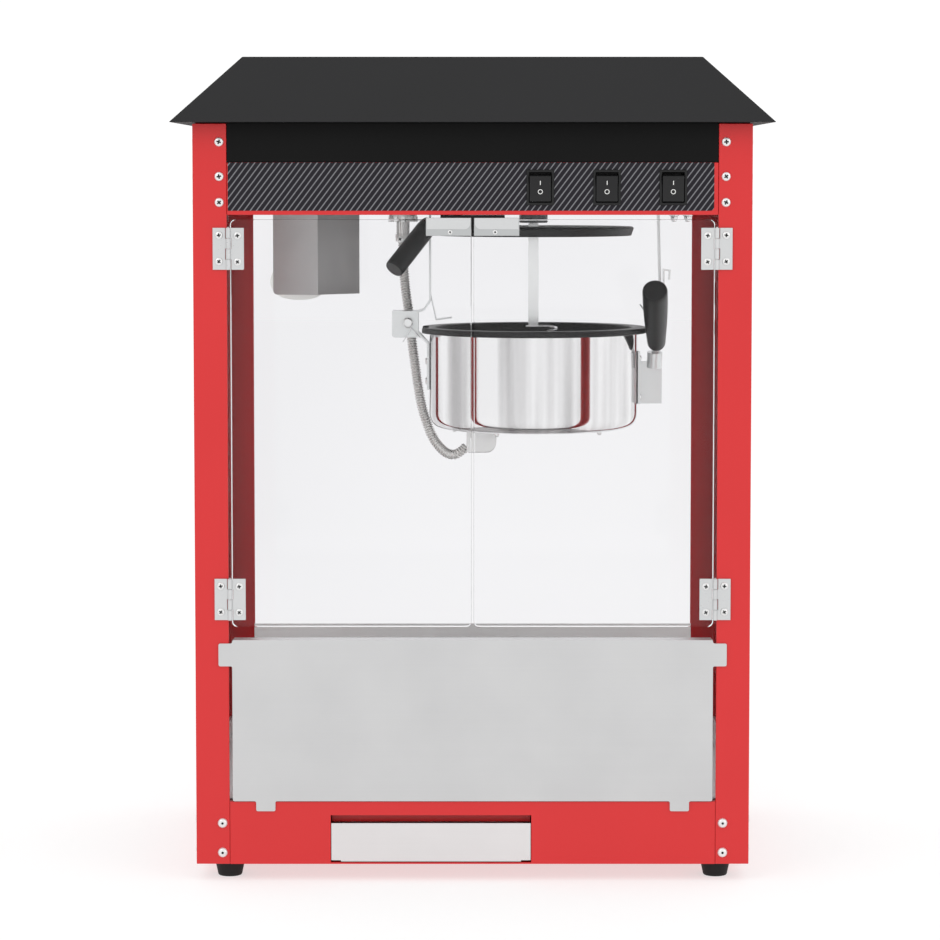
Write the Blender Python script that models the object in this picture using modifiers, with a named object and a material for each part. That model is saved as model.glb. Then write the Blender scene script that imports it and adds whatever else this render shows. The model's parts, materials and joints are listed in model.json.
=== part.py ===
"""Countertop popcorn machine with a tipping kettle, built from its separate pieces.

Metres, +Z up. The origin is on the surface it stands on, under the middle of the
cabinet. The operator's side, with the doors, faces -Y.
"""

import math

import bmesh
import bpy
from mathutils import Matrix, Vector

GAP = 0.0003                      # between two pieces that touch
OVERLAP = 0.0005                  # by which joined shapes reach into each other

# Cabinet
HALF_W, HALF_D = 0.260, 0.190     # outside of the posts
FOOT_H = 0.016
POST_W, POST_T, POST_TOP = 0.0315, 0.0022, 0.7110
BASE_TOP = 0.0754
PAN_FLOOR, PAN_HEM = 0.0012, 0.006
BAND_WALL = 0.002
RAIL_LOW, RAIL_HIGH = 0.6264, 0.6750
FASCIA_TOP = 0.7117
ROOF_LOW, ROOF_TOP = 0.7120, 0.7740
ROOF_EAVE, ROOF_CROWN = (0.280, 0.210), (0.216, 0.150)
ROOF_SHEET = 0.002
GLASS_T = 0.004
SHEET = 0.0010                    # stainless sheet
FRONT = -HALF_D                   # plane of the cabinet's front

# Lower front
DRAWER_LEFT, DRAWER_RIGHT = -0.1336, 0.0552
DRAWER_SLOT_LOW, DRAWER_SLOT_HIGH = 0.0174, 0.0624
DRAWER_FACE_TOP, DRAWER_BACK = 0.0547, 0.0200
DAM_HALF, DAM_LOW, DAM_HIGH = 0.2254, 0.0760, 0.2287
DECK_HALF, DECK_FRONT, DECK_BACK = 0.2531, -0.1775, 0.1831
DECK_HOLES_X, DECK_HOLES_Y, DECK_HOLE_PITCH = 6, 4, 0.026

# Doors
DOOR_INNER, DOOR_OUTER = 0.0010, 0.2255
DOOR_LOW, DOOR_HIGH = 0.2409, 0.6222
HINGE_X = 0.2270
HINGE_LEAF_T, KNUCKLE_R, HINGE_PIN_R = 0.0012, 0.00225, 0.0009
HINGE_LEAF_H = 0.0389
HINGE_MIDS = {"upper": 0.5950, "lower": 0.26705}
HINGE_Y = FRONT - GAP - KNUCKLE_R
KNUCKLES = 4
STRIKE_NEAR, STRIKE_FAR = 0.0013, 0.0434

# Switches
SWITCHES = {"light": 0.0628, "heat": 0.1247, "stir": 0.1862}
SWITCH_Z, ROCKER_Y, ROCKER_TILT = 0.6518, -0.1860, math.radians(8.0)
BEZEL_HALF, HOUSING_HALF, CAVITY_HALF = (0.0128, 0.0164), (0.0114, 0.0146), (0.0104, 0.0138)

# Kettle, turned about its own vertical axis
KETTLE = Vector((0.060, 0.0, 0.0))
PAN_R, PAN_SHEET, RIM_R = 0.0985, 0.0015, 0.1120
RIM_TOP, RIM_LOW, KETTLE_LOW = 0.5140, 0.5083, 0.4140
JACKET_R, CORNER_R = 0.1027, 0.0115
PIVOT = Vector((-0.0636, 0.0, 0.5186))
PIN_R, EAR_HALF, CLEVIS_IN, CLEVIS_OUT = 0.0040, 0.0125, 0.0140, 0.0160
GRIP_ROOT, GRIP_END = Vector((0.1812, -0.0080, 0.4965)), Vector((0.1754, -0.0840, 0.5530))
SHAFT_HALF = 0.0050
STIR_R = 0.0340

# Lid, raised on the drive shaft
LID_R, LID_FOOT_R = 0.0990, 0.0965
LID_LOW, LID_HIGH = 0.6040, 0.6128
LID_GRIP_ROOT, LID_GRIP_END = Vector((-0.0405, -0.0670, 0.6175)), Vector((-0.0753, -0.1000, 0.5733))
LID_GRIP_R = 0.0095

# Conduit from the ceiling to the terminal cap, and the lamp
CONDUIT_R = 0.005
CONDUIT_X, CONDUIT_Y = -0.0690, 0.0225
CONDUIT_ROUTE = [
    (-0.0690, 0.0225, 0.5973), (-0.0690, 0.0225, 0.5800), (-0.0665, 0.0225, 0.5500),
    (-0.0630, 0.0225, 0.5250), (-0.0605, 0.0225, 0.5000), (-0.0572, 0.0225, 0.4750),
    (-0.0536, 0.0225, 0.4500), (-0.0490, 0.0215, 0.4280), (-0.0400, 0.0160, 0.4040),
    (-0.0290, 0.0080, 0.3905), (-0.0190, 0.0020, 0.3870), (-0.0092, 0.0000, 0.3925),
]
LAMP = Vector((-0.1730, 0.0380, 0.0))
LAMP_R, LAMP_LOW, HOLDER_LOW = 0.0315, 0.5390, 0.6050

PLANES = {
    "XY": Matrix(((1, 0, 0), (0, 1, 0), (0, 0, 1))),
    "XZ": Matrix(((1, 0, 0), (0, 0, -1), (0, 1, 0))),
    "YZ": Matrix(((0, 0, 1), (1, 0, 0), (0, 1, 0))),
}
FINISHES = {                      # colour, metallic, roughness
    "red": ((0.74, 0.065, 0.070), 0.0, 0.35),
    "black_sheet": ((0.035, 0.035, 0.036), 0.0, 0.6),
    "black_plastic": ((0.022, 0.022, 0.023), 0.0, 0.45),
    "black_coating": ((0.020, 0.020, 0.021), 0.0, 0.4),
    "steel": ((0.62, 0.62, 0.62), 1.0, 0.3),
    "polished": ((0.80, 0.80, 0.81), 1.0, 0.08),
    "zinc": ((0.66, 0.67, 0.68), 1.0, 0.35),
    "brass": ((0.70, 0.60, 0.35), 1.0, 0.3),
    "rubber": ((0.020, 0.020, 0.020), 0.0, 0.8),
    "clear": ((0.90, 0.93, 0.94), 0.0, 0.05),
    "lamp": ((0.92, 0.92, 0.90), 0.0, 0.2),
}


# Scene

for old in list(bpy.data.objects):
    bpy.data.objects.remove(old)

pieces = bpy.data.collections.new("popcorn_machine")
helpers = bpy.data.collections.new("cutters")
for group in (pieces, helpers):
    bpy.context.scene.collection.children.link(group)


def make_finish(name):
    colour, metallic, roughness = FINISHES[name]
    finish = bpy.data.materials.new(name)
    finish.use_nodes = True
    shader = finish.node_tree.nodes["Principled BSDF"]
    shader.inputs["Base Color"].default_value = (*colour, 1.0)
    shader.inputs["Metallic"].default_value = metallic
    shader.inputs["Roughness"].default_value = roughness
    return finish


finishes = {name: make_finish(name) for name in FINISHES}


# Shapes: each takes a finish, or none when it only cuts or joins another piece

def place(name, data, finish):
    piece = bpy.data.objects.new(name, data)
    if finish is None:
        helpers.objects.link(piece)
        piece.hide_render = True
        piece.display_type = "WIRE"
    else:
        pieces.objects.link(piece)
        data.materials.append(finishes[finish])
    return piece


def from_bmesh(name, shape, finish, smooth=False):
    mesh = bpy.data.meshes.new(name)
    shape.to_mesh(mesh)
    shape.free()
    if smooth:
        mesh.shade_smooth()
        mesh.set_sharp_from_angle(angle=math.radians(35.0))
    return place(name, mesh, finish)


def box(name, low, high, finish=None):
    low, high = Vector(low), Vector(high)
    scaling = Matrix.Diagonal((*(high - low), 1.0))
    shape = bmesh.new()
    bmesh.ops.create_cube(shape, size=1.0, matrix=Matrix.Translation((low + high) / 2) @ scaling)
    return from_bmesh(name, shape, finish)


def cylinder(name, start, end, radius, finish=None, segments=16):
    start, end = Vector(start), Vector(end)
    turn = (end - start).to_track_quat("Z", "Y").to_matrix().to_4x4()
    shape = bmesh.new()
    bmesh.ops.create_cone(
        shape, cap_ends=True, segments=segments, radius1=radius, radius2=radius,
        depth=(end - start).length, matrix=Matrix.Translation((start + end) / 2) @ turn)
    return from_bmesh(name, shape, finish, smooth=True)


def curve_to_mesh(name, curve, turn, offset, finish):
    """Mesh of a filled curve, with its loose caps welded on."""
    drawn = bpy.data.objects.new(name + "_curve", curve)
    bpy.context.scene.collection.objects.link(drawn)
    drawn.matrix_world = Matrix.Translation(offset) @ turn.to_4x4()
    bpy.context.view_layer.update()
    evaluated = drawn.evaluated_get(bpy.context.evaluated_depsgraph_get())
    mesh = bpy.data.meshes.new_from_object(evaluated)
    mesh.materials.clear()
    shape = bmesh.new()
    shape.from_mesh(mesh)
    bmesh.ops.remove_doubles(shape, verts=shape.verts, dist=0.00002)
    shape.to_mesh(mesh)
    shape.free()
    piece = place(name, mesh, finish)
    piece.matrix_world = drawn.matrix_world.copy()
    bpy.data.objects.remove(drawn)
    return piece


def plate(name, outline, plane, low, high, finish=None):
    """A flat outline in a plane, filled and given thickness from low to high across it."""
    curve = bpy.data.curves.new(name, "CURVE")
    curve.dimensions = "2D"
    curve.fill_mode = "BOTH"
    curve.extrude = (high - low) / 2
    spline = curve.splines.new("POLY")
    spline.points.add(len(outline) - 1)
    for point, (u, v) in zip(spline.points, outline):
        point.co = (u, v, 0.0, 1.0)
    spline.use_cyclic_u = True
    turn = PLANES[plane]
    across = Vector([abs(n) for n in turn.col[2]])
    return curve_to_mesh(name, curve, turn, across * (low + high) / 2, finish)


def rod(name, points, radius, finish=None, resolution=2):
    """A wire or tube along its centre line."""
    curve = bpy.data.curves.new(name, "CURVE")
    curve.dimensions = "3D"
    curve.bevel_depth = radius
    curve.bevel_resolution = resolution
    curve.use_fill_caps = True
    spline = curve.splines.new("POLY")
    spline.points.add(len(points) - 1)
    for point, place_at in zip(spline.points, points):
        point.co = (*place_at, 1.0)
    return curve_to_mesh(name, curve, Matrix.Identity(3), Vector(), finish)


def turned(name, profile, base, finish=None, up=(0, 0, 1), steps=24, closed=False):
    """A profile of (radius, height) pairs turned about the line through base along up."""
    shape = bmesh.new()
    points = [shape.verts.new((radius, 0.0, height)) for radius, height in profile]
    for a, b in zip(points, points[1:]):
        shape.edges.new((a, b))
    if closed:
        shape.edges.new((points[-1], points[0]))
    piece = from_bmesh(name, shape, finish)
    piece.location = base
    piece.rotation_euler = Vector(up).to_track_quat("Z", "Y").to_euler()
    screw = piece.modifiers.new("turn", "SCREW")
    screw.steps = screw.render_steps = steps
    screw.use_merge_vertices = True
    screw.merge_threshold = 0.00002
    screw.use_smooth_shade = True
    return piece


def combine(piece, operation, tools):
    for tool in tools:
        change = piece.modifiers.new(tool.name, "BOOLEAN")
        change.operation = operation
        change.solver = "EXACT"
        change.object = tool
    return piece


def join(piece, *tools):
    return combine(piece, "UNION", tools)


def cut(piece, *tools):
    return combine(piece, "DIFFERENCE", tools)


# Outlines

def rounded(corners, radius, steps=3):
    """A closed outline with each corner turned into an arc that starts radius before it."""
    outline = []
    for before, corner, after in zip([corners[-1]] + corners, corners, corners[1:] + corners[:1]):
        here = Vector(corner)
        start = here + (Vector(before) - here).normalized() * radius
        end = here + (Vector(after) - here).normalized() * radius
        for step in range(steps + 1):
            t = step / steps
            outline.append(tuple(start * (1 - t) ** 2 + here * 2 * t * (1 - t) + end * t * t))
    return outline


def rectangle(low, high):
    return [(low[0], low[1]), (high[0], low[1]), (high[0], high[1]), (low[0], high[1])]


def folded(path, thickness):
    """Outline of sheet of one thickness folded along a path."""
    path = [Vector(p) for p in path]
    runs = [(b - a).normalized() for a, b in zip(path, path[1:])]
    sides = ([], [])
    for point, run_in, run_out in zip(path, runs[:1] + runs, runs + runs[-1:]):
        along = (run_in + run_out).normalized()
        across = Vector((-along.y, along.x)) * thickness / 2 / along.dot(run_in)
        sides[0].append(tuple(point + across))
        sides[1].append(tuple(point - across))
    return sides[0] + sides[1][::-1]


def inside_of_band(wall):
    return HALF_W - POST_T - GAP - wall, HALF_D - POST_T - GAP - wall


def smooth_route(points, steps=3):
    """Points read from a smooth curve through a route's own points."""
    ends = [points[0]] + points + [points[-1]]
    route = []
    for a, b, c, d in zip(ends, ends[1:], ends[2:], ends[3:]):
        a, b, c, d = Vector(a), Vector(b), Vector(c), Vector(d)
        for step in range(steps):
            t = step / steps
            route.append(0.5 * (2 * b + (c - a) * t + (2 * a - 5 * b + 4 * c - d) * t ** 2
                                + (3 * b - a - 3 * c + d) * t ** 3))
    return route + [Vector(points[-1])]


# Cabinet

def post_outline(sx, sy, room=0.0):
    """Outline of a corner's angle post, grown by room on the sides that face the cabinet."""
    leg, thick = POST_W + room, POST_T + room
    out = -OVERLAP if room else 0.0
    angle = [(out, out), (leg, out), (leg, thick), (thick, thick), (thick, leg), (out, leg)]
    return [(sx * (HALF_W - u), sy * (HALF_D - v)) for u, v in angle]


def cabinet_block(name, low, high, finish):
    """A block as large as the cabinet, stepped back round the four posts."""
    block = box(name, (-HALF_W, -HALF_D, low), (HALF_W, HALF_D, high), finish)
    for sx, sy in ((-1, -1), (1, -1), (-1, 1), (1, 1)):
        cut(block, plate(f"{name}_post_room_{sx}_{sy}", post_outline(sx, sy, GAP), "XY",
                         low - 0.01, high + 0.01))
    return block


def make_feet():
    profile = [(0.0, FOOT_H - GAP), (0.0145, FOOT_H - GAP), (0.0130, 0.0045), (0.01225, 0.0015),
               (0.0107, 0.0), (0.0, 0.0)]
    for end, y in (("front", -0.1605), ("rear", 0.1605)):
        for side, x in (("left", -0.2305), ("right", 0.2305)):
            turned(f"{end}_{side}_foot", profile, (x, y, 0.0), "rubber", steps=20)


def make_posts():
    for end, sy in (("front", -1), ("rear", 1)):
        for side, sx in (("left", -1), ("right", 1)):
            plate(f"{end}_{side}_post", post_outline(sx, sy), "XY", FOOT_H, POST_TOP, "red")


def make_base_pan():
    pan = cabinet_block("base_pan", FOOT_H, BASE_TOP, "red")
    x, y = inside_of_band(PAN_HEM)
    hollow = box("pan_hollow", (-x, -y, FOOT_H + PAN_FLOOR), (x, y, BASE_TOP + OVERLAP))
    slot = box("drawer_slot", (DRAWER_LEFT, FRONT - OVERLAP, DRAWER_SLOT_LOW),
               (DRAWER_RIGHT, -y + OVERLAP, DRAWER_SLOT_HIGH))
    cut(pan, hollow, slot)


def make_deck():
    """Perforated floor of the popcorn compartment, turned up at its back and sides."""
    low, high = BASE_TOP + GAP, BASE_TOP + GAP + SHEET
    deck = box("popcorn_deck", (-DECK_HALF, DECK_FRONT, low), (DECK_HALF, DECK_BACK, high), "steel")
    upstand = box("deck_upstand", (-0.2290, DECK_BACK - SHEET, low), (0.2290, DECK_BACK, 0.1940))
    lips = [box(f"deck_lip_{name}", (min(a, b), DECK_FRONT, low), (max(a, b), DECK_BACK, 0.0960))
            for name, a, b in (("left", -DECK_HALF, SHEET - DECK_HALF),
                               ("right", DECK_HALF, DECK_HALF - SHEET))]
    join(deck, upstand, *lips)
    middle = (DRAWER_LEFT + DRAWER_RIGHT) / 2
    for i in range(DECK_HOLES_X):
        for j in range(DECK_HOLES_Y):
            x = middle + (i - (DECK_HOLES_X - 1) / 2) * DECK_HOLE_PITCH
            y = -0.080 + (j - (DECK_HOLES_Y - 1) / 2) * DECK_HOLE_PITCH
            hole = cylinder(f"deck_hole_{i}_{j}", (x, y, low - 0.002), (x, y, high + 0.002), 0.005,
                            segments=8)
            cut(deck, hole)


def make_drawer():
    """Open-topped tray that catches unpopped kernels."""
    left, right, low = DRAWER_LEFT + 0.0006, DRAWER_RIGHT - 0.0006, 0.0192
    drawer = box("kernel_drawer", (left + 0.002, FRONT + 0.0015, low),
                 (right - 0.002, DRAWER_BACK, 0.0500), "steel")
    hollow = box("drawer_hollow", (left + 0.002 + SHEET, FRONT + 0.0015 + SHEET, low + SHEET),
                 (right - 0.002 - SHEET, DRAWER_BACK - SHEET, 0.0600))
    cut(drawer, hollow)
    face_y = FRONT + 0.0006, FRONT + 0.0020
    face = box("drawer_face", (left, face_y[0], low + GAP), (right, face_y[1], DRAWER_FACE_TOP))
    lip = box("drawer_lip", (left + 0.009, face_y[0] + 0.0001, low - 0.0010),
              (right - 0.009, face_y[1] - 0.0001, low + 0.001))
    join(face, lip)
    join(drawer, face)
    return [drawer]


def make_front_panel():
    """Pull-out dam across the lower front, with two ears on the posts and two tabs on the base."""
    back = FRONT - GAP
    front = back - 0.0012
    panel = box("front_panel", (-DAM_HALF, front, DAM_LOW), (DAM_HALF, back, DAM_HIGH), "steel")
    for name, side in (("left", -1), ("right", 1)):
        ear = sorted((side * (DAM_HALF - 0.002), side * 0.2382))
        tab = sorted((side * 0.1855, side * 0.2035))
        join(panel, box(f"{name}_ear", (ear[0], front, 0.2039), (ear[1], back, 0.2254)),
             box(f"{name}_tab", (tab[0], front, 0.0665), (tab[1], back, DAM_LOW + 0.002)))
    half, start, end = DAM_HALF - GAP, back - OVERLAP, -0.1800
    low, high = DAM_LOW + GAP, DAM_HIGH - GAP
    returns = box("panel_returns", (-half, start, low), (half, end, high))
    inside = box("panel_inside", (SHEET - half, start - OVERLAP, low + SHEET),
                 (half - SHEET, end + 0.01, high - SHEET))
    lip = box("panel_lip", (-half + SHEET / 2, end - 0.002, high - SHEET * 0.8),
              (half - SHEET / 2, -0.1700, high - SHEET * 0.2))
    return [join(panel, cut(returns, inside), lip)]


def make_glazing():
    low, high = BASE_TOP + GAP, RAIL_LOW - 0.0004
    outside = HALF_W - POST_T - GAP
    back = HALF_D - POST_T - GAP
    for side, sx in (("left", -1), ("right", 1)):
        ends = sorted((sx * (outside - GLASS_T), sx * outside))
        box(f"{side}_window", (ends[0], -0.1870, low), (ends[1], back - GLASS_T - GAP, high), "clear")
    half = outside - GLASS_T - GAP
    box("rear_window", (-half, back - GLASS_T, low), (half, back, high), "clear")


def make_control_rail():
    """Red band that holds the switches and closes the front of the electrical box."""
    rail = cabinet_block("control_rail", RAIL_LOW, RAIL_HIGH, "red")
    x, y = inside_of_band(BAND_WALL)
    cut(rail, box("rail_hollow", (-x, -y, RAIL_LOW - OVERLAP), (x, y, RAIL_HIGH + OVERLAP)))
    half_x, half_z = HOUSING_HALF[0] + GAP, HOUSING_HALF[1] + GAP
    for name, centre in SWITCHES.items():
        cut(rail, box(f"{name}_cutout", (centre - half_x, FRONT - OVERLAP, SWITCH_Z - half_z),
                      (centre + half_x, -y + OVERLAP, SWITCH_Z + half_z)))


def make_fascia():
    fascia = cabinet_block("fascia_band", RAIL_HIGH + GAP, FASCIA_TOP, "black_sheet")
    x, y = inside_of_band(BAND_WALL)
    cut(fascia, box("fascia_hollow", (-x, -y, RAIL_HIGH - OVERLAP), (x, y, FASCIA_TOP + OVERLAP)))


def frustum(name, base, crown, low, high, finish=None):
    shape = bmesh.new()
    bmesh.ops.create_cube(shape, size=2.0)
    for vert in shape.verts:
        half, height = (crown, high) if vert.co.z > 0 else (base, low)
        vert.co = (vert.co.x * half[0], vert.co.y * half[1], height)
    return from_bmesh(name, shape, finish)


def make_roof():
    roof = frustum("roof_cover", ROOF_EAVE, ROOF_CROWN, ROOF_LOW, ROOF_TOP, "black_sheet")
    inner_base = [half - 2.4 * ROOF_SHEET for half in ROOF_EAVE]
    inner_crown = [half - 0.9 * ROOF_SHEET for half in ROOF_CROWN]
    hollow = frustum("roof_hollow", inner_base, inner_crown, ROOF_LOW + 0.0015, ROOF_TOP - ROOF_SHEET)
    mouth = box("roof_mouth", (-0.235, -0.165, ROOF_LOW - OVERLAP), (0.235, 0.165, ROOF_LOW + 0.003))
    cut(roof, hollow, mouth)


def make_ceiling():
    """Sheet under the electrical box, with holes for the gearmotor's nose, lamp and conduit."""
    x, y = inside_of_band(BAND_WALL)
    low, high = RAIL_LOW, RAIL_LOW + 0.0016
    ceiling = box("ceiling_plate", (-x + GAP, -y + GAP, low), (x - GAP, y - GAP, high), "steel")
    holes = (("nose", KETTLE.xy, 0.0145), ("lamp", LAMP.xy, 0.0165),
             ("conduit", (CONDUIT_X, CONDUIT_Y), 0.0065))
    for name, (hole_x, hole_y), radius in holes:
        cut(ceiling, cylinder(f"{name}_hole", (hole_x, hole_y, low - 0.002),
                              (hole_x, hole_y, high + 0.002), radius))


def make_cable_gland():
    """Screwed gland on the back of the rail, where the supply cord enters."""
    profile = [(0.0040, 0.0170), (0.0075, 0.0170), (0.0100, 0.0130), (0.0100, 0.0070), (0.0125, 0.0070),
               (0.0125, 0.0), (0.0040, 0.0)]
    place_at = (-0.180, HALF_D + GAP, SWITCH_Z)
    turned("cable_gland", profile, place_at, "black_plastic", up=(0, 1, 0), steps=16, closed=True)


# Doors, one on each side; side is -1 for the left and 1 for the right

def make_door(name, side):
    outline = rounded(rectangle((DOOR_INNER, DOOR_LOW), (DOOR_OUTER, DOOR_HIGH)), 0.004)
    outline = [(side * x, z) for x, z in outline]
    moving = [plate(f"{name}_door", outline, "XZ", FRONT, FRONT + GLASS_T, "clear")]
    clip_top, door_back = DOOR_HIGH + GAP + 0.0006, FRONT + GLASS_T
    clip = folded([(FRONT - GAP - 0.0006, 0.6070), (FRONT - GAP - 0.0006, clip_top),
                   (door_back + GAP + 0.0006, clip_top), (door_back + GAP + 0.0006, 0.6120)], 0.0012)
    near, far = sorted((side * STRIKE_NEAR, side * STRIKE_FAR))
    moving.append(plate(f"{name}_door_strike", clip, "YZ", near, far, "zinc"))
    for level, middle in HINGE_MIDS.items():
        make_hinge_leaf(f"{level}_{name}_post_leaf", side, middle, 1)
        moving.append(make_hinge_leaf(f"{level}_{name}_door_leaf", side, middle, -1))
    return moving


def make_hinge_leaf(name, side, middle, towards_post):
    """One leaf of a butt hinge: the post's leaf holds the pin, the door's turns round it."""
    back, front = FRONT - GAP, FRONT - GAP - HINGE_LEAF_T
    near, far = KNUCKLE_R + 2 * GAP, 0.0145
    low, high = middle - HINGE_LEAF_H / 2, middle + HINGE_LEAF_H / 2
    outward = side * towards_post
    span = sorted((HINGE_X * side + outward * near, HINGE_X * side + outward * far))
    leaf = box(name, (span[0], front, low), (span[1], back, high), "zinc")
    segment = HINGE_LEAF_H / KNUCKLES
    bore_ends = (HINGE_X * side, HINGE_Y, low - 0.001), (HINGE_X * side, HINGE_Y, high + 0.001)
    for i in range(0 if towards_post > 0 else 1, KNUCKLES, 2):
        z0 = low + i * segment + (GAP / 2 if i else 0.0)
        z1 = low + (i + 1) * segment - (GAP / 2 if i < KNUCKLES - 1 else 0.0)
        ends = (HINGE_X * side, HINGE_Y, z0), (HINGE_X * side, HINGE_Y, z1)
        reach = sorted((HINGE_X * side, HINGE_X * side + outward * (near + OVERLAP)))
        join(leaf, box(f"{name}_web_{i}", (reach[0], front, z0), (reach[1], back, z1)),
             cylinder(f"{name}_knuckle_{i}", *ends, KNUCKLE_R, segments=14))
    if towards_post > 0:
        ends = (HINGE_X * side, HINGE_Y, low + OVERLAP), (HINGE_X * side, HINGE_Y, high + 0.0008)
        return join(leaf, cylinder(f"{name}_pin", *ends, HINGE_PIN_R, segments=10))
    return cut(leaf, cylinder(f"{name}_bore", *bore_ends, HINGE_PIN_R + GAP, segments=10))


def make_door_catch():
    box("magnet_catch", (-0.0300, -0.1835, 0.6120), (0.0300, -0.1700, RAIL_LOW - GAP), "black_plastic")


# Switches

def make_switch(name, centre):
    def flat(half, low, high, title, finish=None):
        return box(title, (centre - half[0], low, SWITCH_Z - half[1]),
                   (centre + half[0], high, SWITCH_Z + half[1]),
                   finish)

    bezel_front, cavity_back, back = -0.1925, -0.1760, -0.1680
    housing = flat(HOUSING_HALF, FRONT - GAP - OVERLAP, back, f"{name}_switch_housing", "black_plastic")
    join(housing, flat(BEZEL_HALF, bezel_front, FRONT - GAP, f"{name}_bezel"))
    cut(housing, flat(CAVITY_HALF, bezel_front - OVERLAP, cavity_back, f"{name}_cavity"))
    side = [(-0.0080, 0.0124), (-0.0065, 0.0), (-0.0080, -0.0124), (0.0040, -0.0085), (0.0065, -0.0030),
            (0.0065, 0.0030), (0.0040, 0.0085)]
    rocker = plate(f"{name}_rocker", side, "YZ", -0.0100, 0.0100, "black_plastic")
    rocker.matrix_world = (Matrix.Translation((centre, ROCKER_Y, SWITCH_Z))
                           @ Matrix.Rotation(ROCKER_TILT, 4, "X") @ rocker.matrix_world)
    return [rocker]


# Stirrer drive

def make_gearmotor():
    """Gearbox and motor above the ceiling, with a nose bush that reaches down through it."""
    x, y = KETTLE.xy
    low = RAIL_LOW + 0.0016 + GAP
    gearbox = box("gearmotor", (x - 0.036, y - 0.030, low), (x + 0.036, y + 0.045, 0.6600), "black_plastic")
    can = cylinder("motor_can", (x, y + 0.012, 0.6595), (x, y + 0.012, 0.6980), 0.026, segments=24)
    nose = cylinder("motor_nose", (x, y, 0.6165), (x, y, low + OVERLAP), 0.0140, segments=24)
    bore = cylinder("motor_bore", (x, y, 0.6100), (x, y, 0.6440), 0.0044)
    cut(join(gearbox, can, nose), bore)


def make_drive_shaft():
    """Round spindle in the gearbox, flat bar below it, and a crank finger that turns the stirrer."""
    x, y = KETTLE.xy
    foot = 0.5138
    shaft = box("drive_shaft", (x - SHAFT_HALF, y - 0.0012, foot), (x + SHAFT_HALF, y + 0.0012, 0.6160),
                "steel")
    spindle = cylinder("drive_spindle", (x, y, 0.6150), (x, y, 0.6400), 0.0040)
    sole = box("drive_sole", (x - 0.0075, y - 0.0060, foot), (x + 0.0085, y + 0.0012, foot + 0.0014))
    finger_x, finger_y = STIR_R * math.cos(math.radians(-66.0)), STIR_R * math.sin(math.radians(-66.0))
    finger = rod("drive_finger", [
        (x + 0.0060, y - 0.0030, foot + 0.0007), (x + 0.0150, y - 0.0080, foot + 0.0007),
        (x + 0.0220, y - 0.0180, foot), (x + 0.0215, y - 0.0260, foot - 0.0012),
        (x + finger_x, y + finger_y, foot - 0.0030), (x + finger_x, y + finger_y, 0.4990)], 0.0014)
    return [join(shaft, spindle, sole, finger)]


def make_agitator():
    """Wire stirrer on a hub in the pan, with an upright that the crank finger pushes round."""
    x, y = KETTLE.xy
    floor = KETTLE_LOW + 0.0105
    hub = cylinder("agitator", (x, y, floor + GAP), (x, y, floor + 0.012), 0.0080, "polished")
    arm_z, arm_r = floor + 0.0045, 0.0022
    for i, length in enumerate((0.0860, 0.0800)):
        turn = Matrix.Rotation(math.radians(107.0 + 180.0 * i), 3, "Z")
        sweep = [(0.0, 0.0), (0.030, 0.0), (0.060, 0.010), (length, 0.026)]
        points = [turn @ Vector((u, v, 0.0)) + Vector((x, y, arm_z)) for u, v in sweep]
        join(hub, rod(f"agitator_arm_{i}", points, arm_r))
    angle = math.radians(-73.0)
    upright_x, upright_y = x + STIR_R * math.cos(angle), y + STIR_R * math.sin(angle)
    route = [(x, y, arm_z), (upright_x, upright_y, arm_z), (upright_x, upright_y, 0.5090)]
    foot = rod("agitator_upright", route, 0.0020)
    return [join(hub, foot)]


# Kettle

def corner_arc(radius, centre_r, centre_z, steps=4):
    """Quarter arc from the wall round to the floor, as (radius, height) pairs."""
    turn = [math.pi / 2 * step / steps for step in range(steps + 1)]
    return [(centre_r + radius * math.cos(a), centre_z - radius * math.sin(a)) for a in turn]


def make_kettle():
    jacket_in, jacket_floor = JACKET_R - SHEET * 1.5, KETTLE_LOW + SHEET * 1.5
    outside = corner_arc(CORNER_R, JACKET_R - CORNER_R, KETTLE_LOW + CORNER_R)
    inside = corner_arc(CORNER_R - 0.0015, jacket_in - CORNER_R + 0.0015, jacket_floor + CORNER_R - 0.0015)
    jacket = ([(0.0, jacket_floor)] + inside[::-1] + [(jacket_in, RIM_LOW - GAP), (JACKET_R, RIM_LOW - GAP)]
              + outside + [(0.0, KETTLE_LOW)])
    shell = turned("kettle_shell", jacket, KETTLE, "polished", steps=40)

    pan_out, pan_floor = PAN_R + PAN_SHEET, KETTLE_LOW + 0.0105
    under = corner_arc(0.0115, pan_out - 0.0115, pan_floor - PAN_SHEET + 0.0115)
    over = corner_arc(0.0100, PAN_R - 0.0100, pan_floor + 0.0100)
    rim = [(PAN_R, RIM_TOP - 0.0015), (PAN_R + 0.0010, RIM_TOP), (RIM_R - 0.0010, RIM_TOP),
           (RIM_R, RIM_TOP - 0.0010), (RIM_R, RIM_LOW + 0.0010), (RIM_R - 0.0010, RIM_LOW),
           (pan_out, RIM_LOW)]
    pan_profile = [(0.0, pan_floor)] + over[::-1] + rim + under + [(0.0, pan_floor - PAN_SHEET)]
    pan = turned("kettle_pan", pan_profile, KETTLE, "black_coating", steps=40)
    notch_x = KETTLE.x - JACKET_R - GAP
    cut(pan, box("rim_notch", (notch_x - 0.020, -0.0180, RIM_LOW - 0.003),
                 (notch_x, 0.0180, RIM_TOP + 0.003)))

    cap_corners = [(-0.0060, 0.3905), (0.0234, 0.3905), (0.0234, KETTLE_LOW - GAP),
                   (-0.0060, KETTLE_LOW - GAP)]
    cap = plate("terminal_cap", rounded(cap_corners, 0.0030), "XZ", -0.0180, 0.0180, "steel")
    return [shell, pan, cap]


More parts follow.
